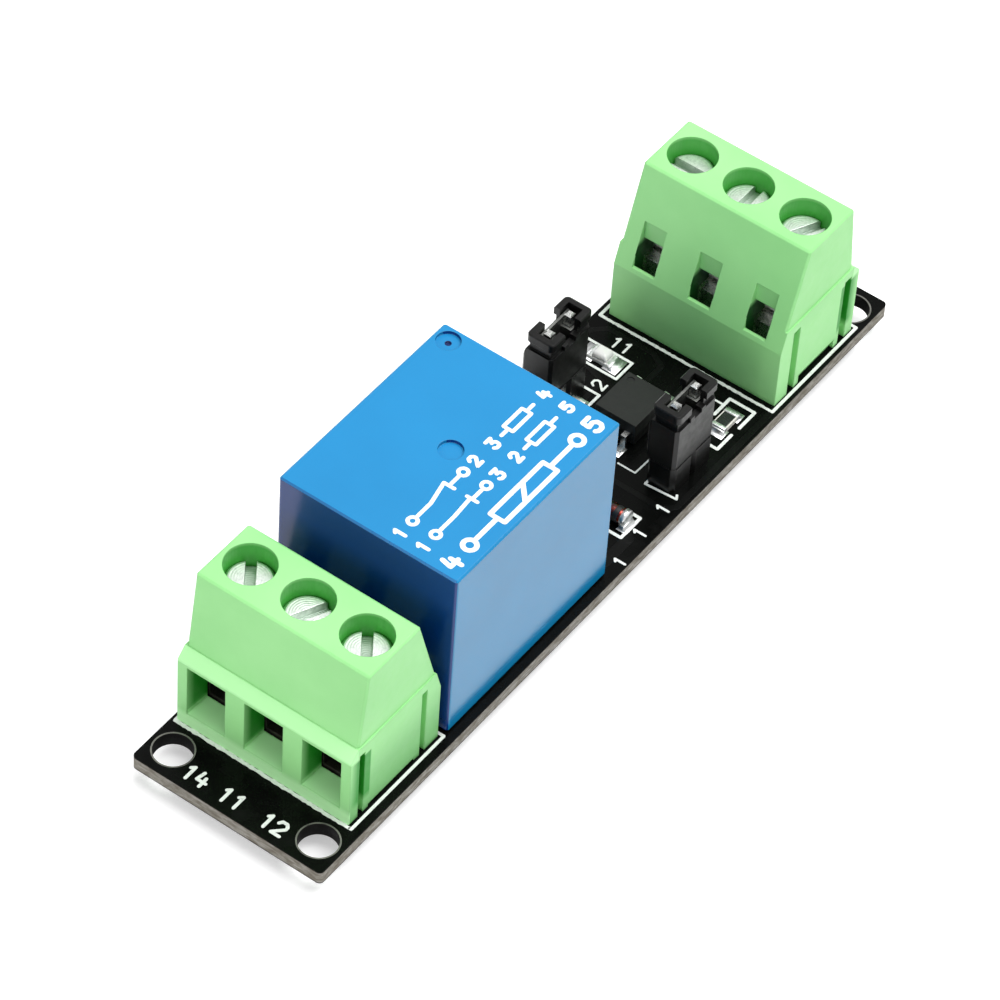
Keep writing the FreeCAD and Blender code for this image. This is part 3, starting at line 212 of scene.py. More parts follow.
def housing_material(node):
    """Green moulded plastic: painted highlights on the ledge, the foot and the mouths' floors; painted
    shade on the lower ends, in the screw wells and the wire mouths, deepest behind the windows."""
    x0, face, way = BLOCKS[node]
    s = Shader("green_" + node, IOR=1.5)
    poles = s.math("FRACT", s.math("MULTIPLY_ADD", s.axis(0), 1 / (PITCH * MM), 0.5 - x0 / PITCH))
    across = s.math("MULTIPLY", s.math("SUBTRACT", poles, 0.5), PITCH)
    from_pole = s.math("ABSOLUTE", across)
    from_middle = s.math("ABSOLUTE", s.math("MULTIPLY_ADD", s.axis(0), 1 / MM, -x0))
    inward = s.math("MULTIPLY_ADD", s.axis(1), way / MM, -way * face)
    height = s.math("MULTIPLY_ADD", s.axis(2), 1 / MM, -BOARD_TOP)
    from_screw = s.math("SUBTRACT", inward, SCREW_INWARD)
    radius = s.math("SQRT", s.math("ADD", s.square(across), s.square(from_screw)))

    # Painted shade: deeper green in the screw wells.
    well_painted_shade = s.all_of(
        s.below(radius, WELL_RADIUS),
        s.fade(height, 16, [(11.04, 0.0), (11.2, 1.0), (13.888, 1.0), (14.176, 0.2)]),
    )
    # Painted shade: deep green on the wire mouths' side walls.
    mouth_wall_painted_shade = s.all_of(
        s.above(from_pole, 1.46),
        s.fade(inward, 4, [(0.08, 0.0), (0.8, 1.0), (2.24, 1.0), (2.32, 0.0)]),
        s.fade(height, 8, [(1.2, 0.0), (1.92, 1.0), (6.16, 1.0), (6.32, 0.0)]),
    )
    # Painted light: paler mouth floors and a paler strip along the foot of the wire face.
    mouth_floor_painted_light = s.all_of(
        s.below(height, 1.6), s.above(inward, 0.12), s.below(inward, 3.2), s.below(from_pole, 1.72),
    )
    foot_painted_light = s.all_of(s.below(inward, 0.12), s.fade(height, 10, [(0.9, 1.0), (1.5, 0.0)]))
    # Painted highlight: a paler ledge.
    ledge_painted_highlight = s.all_of(s.below(inward, 0.82), s.above(height, 6.45), s.below(height, 7.5))
    # Painted shade: deeper green on the output block's lower ends.
    end_painted_shade = s.all_of(
        s.above(from_middle, 7.0),
        s.above(s.math("ABSOLUTE", s.facing(0)), 0.7),
        s.fade(height, 10, [(3.0, 1.0), (6.2, 0.0)]),
    )
    # Painted shade: darkest green behind the windows.
    window_painted_shade = s.all_of(
        s.below(from_pole, 1.03),
        s.above(inward, 6.0),
        s.below(inward, 9.86),
        s.fade(height, 10, [(2.0, 0.0), (3.0, 1.0), (7.6, 1.0), (8.2, 0.0)]),
    )

    tone = s.ramp(s.noise(0.12, 4.0), [(0.3, srgb(142, 214, 134)), (0.65, srgb(154, 224, 145))])
    # Paint the tones: the paler ones are painted highlights, the deeper ones painted shade.
    for place, deeper in (
        (end_painted_shade, srgb(124, 194, 118) if way > 0 else srgb(150, 220, 142)),
        (s.math("MAXIMUM", mouth_floor_painted_light, foot_painted_light), srgb(190, 252, 182)),
        (ledge_painted_highlight, srgb(178, 242, 170)),
        (well_painted_shade, srgb(74, 178, 70)),
        (mouth_wall_painted_shade, srgb(26, 146, 30)),
        (window_painted_shade, srgb(12, 76, 20)),
    ):
        tone = s.blend(place, tone, deeper)
    s.colour(tone)
    s.roughness(s.ramp(s.noise(1.5, 4.0), [(0.3, 0.42), (0.7, 0.52)]))
    s.relief(s.noise(14.0, 2.0), 0.003, 0.12)
    return s.material


def cover_material():
    """The relay's blue cover: matt top and polished sides; painted shade darkens the sides, most on
    the side by the output block, and the vent."""
    s = Shader("blue_plastic", IOR=1.5, Specular_IOR_Level=0.4)
    on_top = s.ramp(s.facing(2), [(0.55, 0.0), (0.85, 1.0)])
    slow = s.noise(0.12, 4.0)
    top = s.ramp(slow, [(0.3, srgb(12, 127, 184)), (0.65, srgb(15, 132, 190))])
    # Painted shade: the sides are darker than the top, darkest on the side that faces the output block.
    sides = s.ramp(slow, [(0.3, srgb(4, 117, 165)), (0.65, srgb(6, 123, 173))])
    sides = s.blend(s.below(s.facing(1), -0.5), sides, srgb(2, 50, 122))
    # Painted shade: a dark blue disc in the vent.
    from_vent = s.node(
        "ShaderNodeVectorMath", {0: s.place, 1: [c * MM for c in VENT]}, operation="DISTANCE"
    ).outputs["Value"]
    vent_painted_shade = s.below(from_vent, VENT_RADIUS * MM)
    s.colour(s.blend(vent_painted_shade, s.blend(on_top, sides, top), srgb(2, 34, 92)))
    polished = s.ramp(s.noise(1.5, 4.0), [(0.3, 0.16), (0.7, 0.24)])
    s.roughness(s.blend(on_top, polished, (0.36, 0.36, 0.36)))
    s.relief(s.noise(14.0, 2.0), 0.0015, 0.09)
    return s.material


def metal(name, dark, light, rough, edge_mm=0.03, grain=(9, 9, 9), grain_mm=0.004, metallic=1.0):
    """Plated or rolled metal: grain stretched along its rolling direction and small dull patches."""
    s = Shader(name, Metallic=metallic)
    patches = s.noise(0.9, 5.0, 0.6)
    s.colour(s.ramp(patches, [(0.35, dark), (0.62, light)]))
    streaks = s.noise(1.0, 4.0, 0.6, s.stretched(grain))
    s.roughness(s.ramp(streaks, [(0.3, rough[0]), (0.75, rough[1])]))
    s.relief(streaks, grain_mm, edge_mm)
    return s.material


def board_material():
    """Black solder mask on both faces, the sawn glass-epoxy edge between them, and painted shade on the hole
    walls.
    """
    s = Shader("board_black", Specular_IOR_Level=0.07)
    middle = (BOARD_TOP + BOARD_BOTTOM) / 2 * MM
    half = (BOARD_TOP - BOARD_BOTTOM) / 2 * MM
    from_middle = s.math("ABSOLUTE", s.math("SUBTRACT", s.axis(2), middle))
    on_face = s.above(from_middle, half - 0.012 * MM)
    near_face = s.above(from_middle, half - 0.09 * MM)
    layers = s.noise(1.0, 4.0, 0.7, s.stretched((0.5, 0.5, 9.0)))
    smears = s.noise(1.1, 4.0, 0.65, s.stretched((1.0, 1.0, 2.5)))
    epoxy = s.ramp(layers, [
        (0.3, srgb(118, 114, 106)), (0.55, srgb(160, 157, 150)), (0.8, srgb(186, 184, 178)),
    ])
    dirty = s.blend(s.ramp(smears, [(0.35, 0.0), (0.62, 1.0)]), epoxy, srgb(112, 106, 96))
    at_side = s.above(s.math("ABSOLUTE", s.axis(0)), (HALF_WIDTH - 0.2) * MM)
    at_end = s.above(s.math("ABSOLUTE", s.axis(1)), (HALF_LENGTH - 0.2) * MM)
    # Painted shade: the hole walls, away from the sawn outer edges, are near black.
    walls = s.blend(s.math("MAXIMUM", at_side, at_end), srgb(14, 14, 14), dirty)
    walls = s.blend(near_face, walls, srgb(30, 29, 27))
    mask = s.ramp(s.noise(0.35, 3.0), [(0.3, srgb(5, 6, 5)), (0.7, srgb(9, 10, 9))])
    s.colour(s.blend(on_face, walls, mask))
    # The faces take the ramp's glossy lower half, the walls its rough upper half
    place = s.math("ADD", s.math("MULTIPLY", on_face, -0.5), s.noise(0.8, 4.0))
    s.roughness(s.ramp(place, [(0.0, 0.24), (0.12, 0.33), (0.45, 0.72), (0.8, 0.9)]))
    s.relief(s.noise(2.2, 3.0, 0.6), 0.006, 0.04)
    return s.material


def mask_material():
    """The solder mask over raised copper."""
    s = Shader("mask_over_copper", Specular_IOR_Level=0.1)
    s.colour(s.ramp(s.noise(0.35, 3.0), [(0.3, srgb(7, 8, 7)), (0.7, srgb(12, 13, 12))]))
    s.roughness(s.ramp(s.noise(0.8, 4.0), [(0.3, 0.25), (0.7, 0.36)]))
    s.relief(s.noise(2.2, 3.0, 0.6), 0.004, 0.05)
    return s.material


def ink_material(name, tone, speckle):
    """Screen-printed white ink, slightly uneven."""
    s = Shader(name, Roughness=0.55)
    worn = tuple(0.72 * c for c in tone)
    s.colour(s.ramp(s.noise(speckle, 4.0, 0.7), [(0.28, worn), (0.5, tone)]))
    s.relief(s.noise(6.0, 3.0), 0.006)
    return s.material


def screw_material(name, x, y):
    """Bright zinc on a screw at x, y: rings left by turning, scratches, dull spots and painted shade in the
    slot.
    """
    s = Shader(name, Metallic=1.0)
    centred = s.stretched((1.0, 1.0, 1.0), (-x * MM, -y * MM, 0.0))
    rings = s.node(
        "ShaderNodeTexWave",
        {"Vector": centred, "Scale": 3.2 / MM / 2, "Distortion": 1.5, "Detail": 2.0},
        wave_type="RINGS",
        rings_direction="Z",
    ).outputs["Fac"]
    spots = s.noise(2.4, 5.0, 0.65)
    bright = s.ramp(spots, [(0.3, srgb(206, 212, 207)), (0.55, srgb(244, 247, 244))])
    # Painted shade: a darker, greener tone deeper into the slot.
    slot_painted_shade = s.fade(s.axis(2), SCREW_TOP * MM, [(14.707 * MM, 1.0), (15.2768 * MM, 0.0)])
    s.colour(s.blend(slot_painted_shade, bright, srgb(190, 202, 192)))
    s.roughness(s.ramp(spots, [(0.3, 0.45), (0.7, 0.3)]))
    scratches = s.noise(1.0, 3.0, 0.6, s.stretched((3.0, 14.0, 3.0)))
    s.relief(s.math("ADD", rings, scratches), 0.006, 0.07)
    return s.material


def winding_material():
    """Enamelled copper wire: close level turns, with painted shade between them."""
    s = Shader("copper_winding", Metallic=1.0, Roughness=0.32)
    turns = s.node(
        "ShaderNodeTexWave", {"Vector": s.place, "Scale": 8.0 / MM / 2}, bands_direction="Z"
    ).outputs["Fac"]
    # Painted shade: darker between the turns.
    s.colour(s.ramp(turns, [(0.1, srgb(96, 42, 16)), (0.6, srgb(196, 104, 58))]))
    s.relief(turns, 0.02)
    return s.material


def clear_material(name, tint, rough, clear=1.0):
    """Clear or milky resin or glass."""
    s = Shader(name, IOR=1.5, Transmission_Weight=clear)
    s.colour(s.ramp(s.noise(1.2, 3.0), [(0.3, tuple(0.93 * c for c in tint)), (0.7, tint)]))
    s.roughness(s.ramp(s.noise(3.0, 3.0), [(0.3, rough), (0.7, rough * 2)]))
    return s.material


ROLLED = (3, 14, 3)
MATERIALS = {
    "board_black": board_material(),
    "mask": mask_material(),
    "ink": ink_material("board_ink", srgb(226, 231, 226), 3.0),
    "cover_ink": ink_material("cover_ink", srgb(236, 244, 248), 2.0),
    "blue_plastic": cover_material(),
    "black_plastic": moulded(
        "black_plastic", srgb(7, 7, 7), srgb(12, 12, 11), (0.28, 0.42), 0.05, Specular_IOR_Level=0.3
    ),
    "bobbin_plastic": moulded("bobbin_plastic", srgb(20, 20, 21), srgb(30, 30, 32), (0.4, 0.5), 0.05),
    "package_black": moulded(
        "package_black", srgb(16, 18, 17), srgb(25, 27, 25), (0.45, 0.6), 0.05, 0.007, Specular_IOR_Level=0.3
    ),
    "solder": metal(
        "solder", srgb(196, 198, 198), srgb(240, 241, 241), (0.26, 0.46), 0.0, (3.0, 3.0, 3.0), 0.02
    ),
    "tinned_copper": metal("tinned_copper", srgb(176, 178, 176), srgb(226, 227, 224), (0.2, 0.4)),
    # Two copies of the cage metal: a dark one, painted shade, for the output cages down in the wire mouths.
    "cage_painted_shade": metal("cage_painted_shade", srgb(44, 42, 38), srgb(70, 68, 62), (0.5, 0.7), 0.08, ROLLED),
    # The other copy is light and less metallic, painted light, for the input cages seen through the windows.
    "cage_painted_light": metal(
        "cage_painted_light", srgb(214, 214, 204), srgb(246, 246, 238), (0.3, 0.5), 0.1, ROLLED, metallic=0.35
    ),
    # Painted shade: a darker tin for the clips seen down inside the jumper caps.
    "clip_tin": metal("clip_tin", srgb(96, 98, 96), srgb(140, 142, 138), (0.3, 0.5)),
    "relay_iron": metal(
        "relay_iron", srgb(150, 150, 150), srgb(192, 192, 190), (0.3, 0.5), 0.06, (3, 12, 3)
    ),
    "spring_bronze": metal(
        "spring_bronze", srgb(176, 124, 70), srgb(214, 164, 104), (0.22, 0.4), 0.03, ROLLED
    ),
    "contact_silver": metal("contact_silver", srgb(206, 206, 204), srgb(236, 236, 234), (0.18, 0.35)),
    "copper_winding": winding_material(),
    "chip_ceramic": moulded("chip_ceramic", srgb(206, 204, 196), srgb(226, 224, 216), (0.5, 0.6), 0.04),
    "chip_glaze": moulded(
        "chip_glaze", srgb(16, 16, 18), srgb(30, 30, 33), (0.18, 0.3), 0.04, 0.003, IOR=1.6
    ),
    "led_carrier": moulded("led_carrier", srgb(226, 226, 220), srgb(242, 242, 238), (0.35, 0.45), 0.04),
    "led_phosphor": moulded("led_phosphor", srgb(236, 234, 214), srgb(246, 245, 230), (0.6, 0.7), 0.02),
    "led_lens": clear_material("led_lens", srgb(253, 253, 250), 0.1, 0.2),
    "ring_tin": metal("ring_tin", srgb(96, 96, 92), srgb(126, 126, 120), (0.5, 0.7), 0.0),
    "diode_glass": clear_material("diode_glass", srgb(226, 150, 118), 0.04),
    "diode_slug": metal("diode_slug", srgb(132, 52, 34), srgb(178, 84, 58), (0.25, 0.4)),
    "diode_band": moulded("diode_band", srgb(18, 18, 20), srgb(30, 30, 32), (0.4, 0.5), 0.02),
}


def dress(node, material):
    """Give a CAD node a material through its slots."""
    thing = NODES[node]
    if not thing.material_slots:
        thing.data.materials.append(material)
    for slot in thing.material_slots:
        slot.material = material


def dress_all():
    """Every CAD node gets a material by its slot in the record; screws and housings get their own."""
    for node, slot in SLOTS.items():
        if slot == "zinc_steel":
            low, high = box_mm(node)
            x, y = (low.x + high.x) / 2, (low.y + high.y) / 2
            dress(node, screw_material(node + "_zinc", x, y))
        elif slot == "green_plastic":
            dress(node, housing_material(node))
        # Output cages get the dark painted-shade copy of the metal, input cages the light painted-light
        # copy.
        elif "terminal_cage" in node:
            dress(node, MATERIALS["cage_painted_shade" if node.startswith("output") else "cage_painted_light"])
        # The jumper clips take the darker tin, which is painted shade.
        elif node.startswith("jumper_clip"):
            dress(node, MATERIALS["clip_tin"])
        elif slot == "led_white":
            dress(node, MATERIALS["led_carrier"])
        else:
            dress(node, MATERIALS[slot])


# ---------------------------------------------------------------- pieces

def piece(name, body, material, build, smooth=False, replaces=()):
    """One new mesh, built by build(bm) in millimetres, riding on a CAD body."""
    bm = bmesh.new()
    build(bm)
    bmesh.ops.scale(bm, vec=(MM, MM, MM), verts=bm.verts)
    mesh = bpy.data.meshes.new(name)
    bm.to_mesh(mesh)
    bm.free()
    for face in mesh.polygons:
        face.use_smooth = smooth
    thing = bpy.data.objects.new(name, mesh)
    bpy.context.scene.collection.objects.link(thing)
    mesh.materials.append(material)
    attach(thing, body)
    if replaces:
        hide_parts(*replaces)


def join_loops(bm, loops):
    """Faces between each loop of corners and the next."""
    for a, b in zip(loops, loops[1:]):
        for i in range(len(a)):
            j = (i + 1) % len(a)
            bm.faces.new((a[i], a[j], b[j], b[i]))


def add_skin(bm, loops):
    """A closed form: faces between each loop of corners and the next, and over both ends."""
    join_loops(bm, loops)
    bm.faces.new(loops[0][::-1])
    bm.faces.new(loops[-1])


STRETCHES = itertools.count()
LEVELS = 17


def add_stroke(bm, points, width, z0, z1, closed=False):
    """A pen line with round joins and ends, drawn through (x, y) points. Each stretch ends a little
    lower than the one before, so that no two top faces near each other share a plane."""
    radius = width / 2
    pairs = list(zip(points, points[1:])) + ([(points[-1], points[0])] if closed else [])
    for (ax, ay), (bx, by) in pairs:
        top = z1 - (next(STRETCHES) % LEVELS) * (z1 - z0) / (2 * LEVELS)
        heading = math.atan2(by - ay, bx - ax)
        outline = []
        for (cx, cy), start in (((bx, by), -90), ((ax, ay), 90)):
            for step in range(5):
                turn = heading + math.radians(start + 45 * step)
                outline.append((cx + radius * math.cos(turn), cy + radius * math.sin(turn)))
        add_skin(bm, [[bm.verts.new((x, y, z)) for x, y in outline] for z in (z0 - SUNK, top)])


def add_ragged(bm, start, end, width, z0, z1, wobble=0.045):
    """A printed line whose two edges wander a little, as ink over a rough edge does."""
    chance = random.Random(11)
    run = Vector(end) - Vector(start)
    steps = int(run.length / 0.22)
    ahead = run.normalized()
    side = Vector((-ahead.y, ahead.x))
    base = z0 - SUNK
    sections = []
    for step in range(steps + 1):
        middle = Vector(start) + run * step / steps
        left = middle + side * (width / 2 + chance.uniform(-wobble, wobble))
        right = middle - side * (width / 2 + chance.uniform(-wobble, wobble))
        corners = ((left, z1), (right, z1), (right, base), (left, base))
        sections.append([bm.verts.new((p.x, p.y, z)) for p, z in corners])
    add_skin(bm, sections)


def add_round_box(bm, low, high, radius, segments=2):
    """A block with rounded edges."""
    part = bmesh.new()
    bmesh.ops.create_cube(part, size=1.0)
    size = [h - l for l, h in zip(low, high)]
    bmesh.ops.scale(part, vec=size, verts=part.verts)
    bmesh.ops.translate(part, vec=[(h + l) / 2 for l, h in zip(low, high)], verts=part.verts)
    edges = part.edges[:]
    bmesh.ops.bevel(part, geom=edges, offset=radius, segments=segments, profile=0.5, affect="EDGES")
    copy_into(bm, part)


def copy_into(bm, part):
    """Add one mesh in the making to another, and drop it."""
    made = {v: bm.verts.new(v.co) for v in part.verts}
    for face in part.faces:
        bm.faces.new([made[v] for v in face.verts])
    part.free()


def turns(segments):
    """Angles once round, in radians."""
    return [2 * math.pi * step / segments for step in range(segments)]


def add_lathe(bm, x, y, profile, segments=24):
    """A profile of (radius, height) points turned about an upright axis."""
    add_skin(bm, [
        [bm.verts.new((x + r * math.cos(t), y + r * math.sin(t), height)) for t in turns(segments)]
        for r, height in profile
    ])


def add_lying_lathe(bm, start, profile, segments=28):
    """A profile of (radius, distance) points turned about an axis that runs along x from start."""
    x, y, z = start
    add_skin(bm, [
        [bm.verts.new((x + far, y + r * math.cos(t), z + r * math.sin(t))) for t in turns(segments)]
        for r, far in profile
    ])


# Plain numbers, drawn with a pen on a grid 1 wide and 1.6 high
DIGIT_HEIGHT = 1.6
ADVANCE = 1.45
DIGITS = {
    "1": [[(0.2, 1.3), (0.55, 1.6), (0.55, 0)]],
    "2": [[(0, 1.25), (0.25, 1.6), (0.75, 1.6), (1, 1.3), (1, 1.0), (0, 0), (1, 0)]],
    "3": [[
        (0, 1.6), (1, 1.6), (0.45, 0.95), (0.75, 0.95), (1, 0.7), (1, 0.25), (0.75, 0), (0.25, 0), (0, 0.25),
    ]],
    "4": [[(0.2, 1.6), (0, 0.6), (1.05, 0.6)], [(0.72, 1.15), (0.72, 0)]],
    "5": [[
        (0.95, 1.6), (0.1, 1.6), (0.05, 0.9), (0.65, 1.0), (1, 0.7), (1, 0.3), (0.7, 0), (0.25, 0), (0, 0.2),
    ]],
}


def number_strokes(digits, x, y, height, turn=0.0):
    """The pen lines of a number centred on x, y, turned by turn degrees."""
    scale = height / DIGIT_HEIGHT
    half_width = ((len(digits) - 1) * ADVANCE + 1) / 2
    spin = Matrix.Rotation(math.radians(turn), 2)
    lines = []
    for index, digit in enumerate(digits):
        for line in DIGITS[digit]:
            points = []
            for px, py in line:
                place = Vector((px + index * ADVANCE - half_width, py - DIGIT_HEIGHT / 2))
                place = spin @ (place * scale)
                points.append((x + place.x, y + place.y))
            lines.append(points)
    return lines


def print_board_top(bm):
    """White ink on the component side: outlines round the parts, and plain numbers."""
    z0, z1 = BOARD_TOP, BOARD_TOP + INK

    def line(*points, width=INK_WIDTH, closed=False):
        add_stroke(bm, points, width, z0, z1, closed)

    def number(digits, x, y, height, turn=90, width=0.19):
        for points in number_strokes(digits, x, y, height, turn):
            line(*points, width=width)

    # Round the two terminal blocks; ink by their long sides runs over a rough edge
    add_ragged(bm, (-8.1, -30.87), (7.5, -30.87), 0.3, z0, z1)
    line((7.5, -30.87), (7.62, -30.87), (7.62, -20.15), (-8.05, -20.15), (-8.05, -30.87), width=0.24)
    add_ragged(bm, (-7.95, 20.32), (7.97, 20.32), 0.26, z0, z1, 0.03)
    line((-7.95, 20.32), (-7.95, 31.6), (7.97, 31.6), (7.97, 20.32), width=0.26)
    for digits, x in (("14", -3.7), ("11", -0.5), ("12", 3.2)):
        number(digits, x, -33.9, 1.2, 0, 0.26)
    # Lamp and its resistor
    line((-7.4, 17.75), (-3.1, 17.75), (-3.1, 15.65), (-7.4, 15.65), closed=True)
    number("11", -4.8, 18.75, 1.05, 0)
    line((-4.85, 9.4), (-4.85, 13.5), (-3.1, 13.5), (-3.1, 9.4), closed=True)
    number("2", -3.75, 14.35, 1.05)
    # Input resistor
    line((4.72, 17.4), (4.72, 19.42), (6.98, 19.42), (6.98, 17.4), width=0.27)
    line((4.72, 16.45), (4.72, 14.62), (6.92, 14.62), (6.92, 16.45), width=0.27)
    number("1", 4.05, 18.6, 0.95)
    # Optocoupler's corner and the two jumpers
    line((2.0, 8.82), (3.55, 8.82), (3.6, 10.5), width=0.15)
    line((4.75, 9.6), (4.75, 8.4), (7.45, 8.6), (7.25, 8.95), width=0.2)
    line((-4.5, 9.6), (-4.5, 8.4), (-7.45, 8.4), (-7.45, 9.6), width=0.2)
    number("1", 7.2, 7.2, 1.0, width=0.2)
    # Diode, relay, base resistor and transistor
    line((2.1, 5.4), (6.45, 5.4), (6.45, 2.95), (2.1, 2.95), width=0.27, closed=True)
    number("1", 7.25, 4.2, 1.0, width=0.2)
    number("1", 7.75, 1.0, 0.9, width=0.2)
    line((-7.2, 2.7), (-7.2, 5.7), (-5.2, 5.7), (-5.2, 2.7), closed=True)
    line((-4.0, 4.9), (-4.0, 3.4))
    line((-0.4, 4.9), (-0.4, 3.4))


def print_cover(bm):
    """White ink on the relay: contact and coil symbols with plain numbers, in three rows."""
    low, high = box_mm("relay_cover")
    z0, z1 = high.z, high.z + INK
    start = low.y + 0.7

    def row(down, height, pen):
        """Tools for a row that runs along the relay, its middle line down from the relay's own."""
        middle = (low.x + high.x) / 2 + down
        half = (height - pen) / 2

        def line(*points, closed=False):
            """Points are (along, up), up from -1 to 1 over the row's height."""
            places = [(middle - up * half, start + along) for along, up in points]
            add_stroke(bm, places, pen, z0, z1, closed)

        def dot(along):
            radius = 0.3 * height
            ring = [(along + radius * math.cos(t), radius * math.sin(t) / half) for t in turns(12)]
            line(*ring, closed=True)

        def number(digits, along):
            for points in number_strokes(digits, middle, start + along, height - pen, 90):
                add_stroke(bm, points, pen, z0, z1)

        return line, dot, number

    for down, digits, rise in ((1.95, "1234", 1.0), (3.95, "1325", 0.35)):
        line, dot, number = row(down, 1.2, 0.3)
        number(digits[0], 0.45)
        dot(1.9)
        line((2.45, 0), (4.0, 0))
        line((4.0, 0), (6.1, rise))
        line((6.1, 1), (6.1, -1))
        line((6.1, 0), (7.2, 0))
        dot(7.75)
        number(digits[1], 9.1)
        number(digits[2], 11.2)
        line((12.2, 0), (13.0, 0))
        line((13.0, 0.9), (13.0, -0.9), (15.2, -0.9), (15.2, 0.9), closed=True)
        line((15.2, 0), (16.0, 0))
        number(digits[3], 17.3)
    line, dot, number = row(6.35, 1.7, 0.38)
    number("4", 0.6)
    dot(2.6)
    line((3.3, 0), (5.8, 0))
    line((5.8, 0.95), (5.8, -0.95), (12.0, -0.95), (12.0, 0.95), closed=True)
    line((8.2, -0.95), (9.6, 0.95))
    line((12.0, 0), (14.5, 0))
    dot(15.2)
    number("5", 17.1)


def pin_places():
    """Every soldered pin as the solder's CAD solids leave it: x, y and foot radius."""
    mesh = NODES["solder_joints"].data
    parent = list(range(len(mesh.vertices)))

    def root(i):
        while parent[i] != i:
            parent[i] = parent[parent[i]]
            i = parent[i]
        return i

    spots = {}
    for vertex in mesh.vertices:
        key = tuple(round(c / MM, 2) for c in vertex.co)
        if key in spots:
            parent[root(vertex.index)] = root(spots[key])
        else:
            spots[key] = vertex.index
    for edge in mesh.edges:
        parent[root(edge.vertices[0])] = root(edge.vertices[1])
    groups = {}
    for vertex in mesh.vertices:
        groups.setdefault(root(vertex.index), []).append(vertex.co / MM)
    places = []
    for points in groups.values():
        xs, ys = [p.x for p in points], [p.y for p in points]
        places.append(((min(xs) + max(xs)) / 2, (min(ys) + max(ys)) / 2, (max(xs) - min(xs)) / 2))
    return sorted(places)


PINS = pin_places()
PIN_END = 0.4
PIN_HALF = 0.52


def solder_cones(bm):
    """Solder drawn up each pin in a hollow curve, and the hole's filling above it."""
    lowest, steps = PIN_END + 0.02, 7
    for x, y, foot in PINS:
        profile = [(0.36, PIN_END)]
        for step in range(steps + 1):
            t = step / steps
            radius = PIN_HALF + (foot - PIN_HALF) * t ** 2.3
            profile.append((radius, lowest + (BOARD_BOTTOM - lowest) * t))
        profile += [(foot * 0.6, BOARD_BOTTOM + 0.2), (foot * 0.6, BOARD_TOP)]
        add_lathe(bm, x, y, profile)


def pads(bm):
    """Bare tinned rings round the pins, under the board."""
    for x, y, foot in PINS:
        add_lathe(bm, x, y, [(foot + 0.16, BOARD_BOTTOM - COPPER), (foot + 0.2, BOARD_BOTTOM)], 28)


def hole_rings(bm):
    """The thin bare ring round each mounting hole, on both faces."""
    thick, outer = 0.012, HOLE_RADIUS + 0.12
    for sx, sy in itertools.product((-1, 1), repeat=2):
        x, y = sx * HOLE_X, sy * (HALF_LENGTH - HOLE_FROM_END)
        for z0, z1 in ((BOARD_TOP, BOARD_TOP + thick), (BOARD_BOTTOM - thick, BOARD_BOTTOM)):
            loops = [
                [bm.verts.new((x + r * math.cos(t), y + r * math.sin(t), z)) for t in turns(48)]
                for r, z in ((HOLE_RADIUS, z0), (outer, z0), (outer, z1), (HOLE_RADIUS, z1))
            ]
            join_loops(bm, loops + loops[:1])


def traces_top(bm):
    """Copper under the mask on the component side."""
    z0, z1 = BOARD_TOP, BOARD_TOP + COPPER
    runs = [
        (0.5, [(5.85, 16.2), (5.85, 14.0), (5.2, 13.2), (5.2, 12.6)]),
        (0.5, [(7.9, 22.0), (7.9, 8.0), (7.2, 7.2), (2.0, 7.2), (1.3, 6.5), (1.3, 4.4)]),
        (0.45, [(1.3, 16.4), (1.3, 18.6), (3.2, 18.6), (5.0, 18.6)]),
        (0.45, [
            (-1.2, 16.4), (-1.2, 18.9), (-2.4, 19.6), (-6.6, 19.6), (-7.6, 18.6), (-7.6, 12.4), (-6.6, 11.4),
        ]),
        (0.45, [(-3.8, 12.3), (-3.8, 14.8), (-5.6, 15.4), (-6.6, 16.2)]),
        (0.6, [(-3.8, 9.5), (-3.8, 8.2), (-2.2, 6.6), (-2.2, 5.9)]),
        (0.45, [(1.3, 9.6), (1.3, 8.4), (-0.2, 6.9), (-3.2, 6.9), (-6.2, 5.9), (-6.2, 5.4)]),
        (0.6, [(-1.2, 9.7), (-1.2, 8.6), (-2.6, 7.6), (-7.7, 7.6), (-7.7, 1.0), (-6.4, -0.2)]),
        (0.7, [(-1.25, 2.4), (-1.25, 1.2), (1.4, 1.2), (3.0, 2.2)]),
        (0.9, [(6.0, 4.2), (6.9, 3.2), (6.9, 0.2)]),
    ]
    for width, points in runs:
        add_stroke(bm, points, width, z0, z1)


def traces_bottom(bm):
    """Copper under the mask on the solder side: wide lands for the load, narrow runs for the coil."""
    z0, z1 = BOARD_BOTTOM - COPPER, BOARD_BOTTOM
    runs = [
        (3.0, [(-5.4, -22.5), (-6.0, -20.5), (-6.3, -17.2)]),
        (3.0, [(4.8, -22.5), (5.4, -20.5), (5.9, -17.2)]),
        (3.0, [(-0.3, -22.5), (-0.1, -18.0), (-0.1, -2.6)]),
        (0.8, [(-6.1, -4.9), (-7.6, -3.2), (-7.6, 7.6), (-6.2, 9.6)]),
        (0.8, [(5.9, -4.9), (7.5, -3.2), (7.5, 21.0), (5.1, 23.2)]),
        (0.7, [(-5.85, 12.6), (-6.9, 14.0), (-6.9, 20.6), (-5.0, 23.2)]),
        (0.7, [(5.85, 9.9), (2.4, 11.6), (1.6, 18.8), (0.1, 23.2)]),
        (0.7, [(5.85, 12.5), (3.6, 14.4), (3.6, 19.6), (5.1, 23.2)]),
    ]
    for width, points in runs:
        add_stroke(bm, points, width, z0, z1)


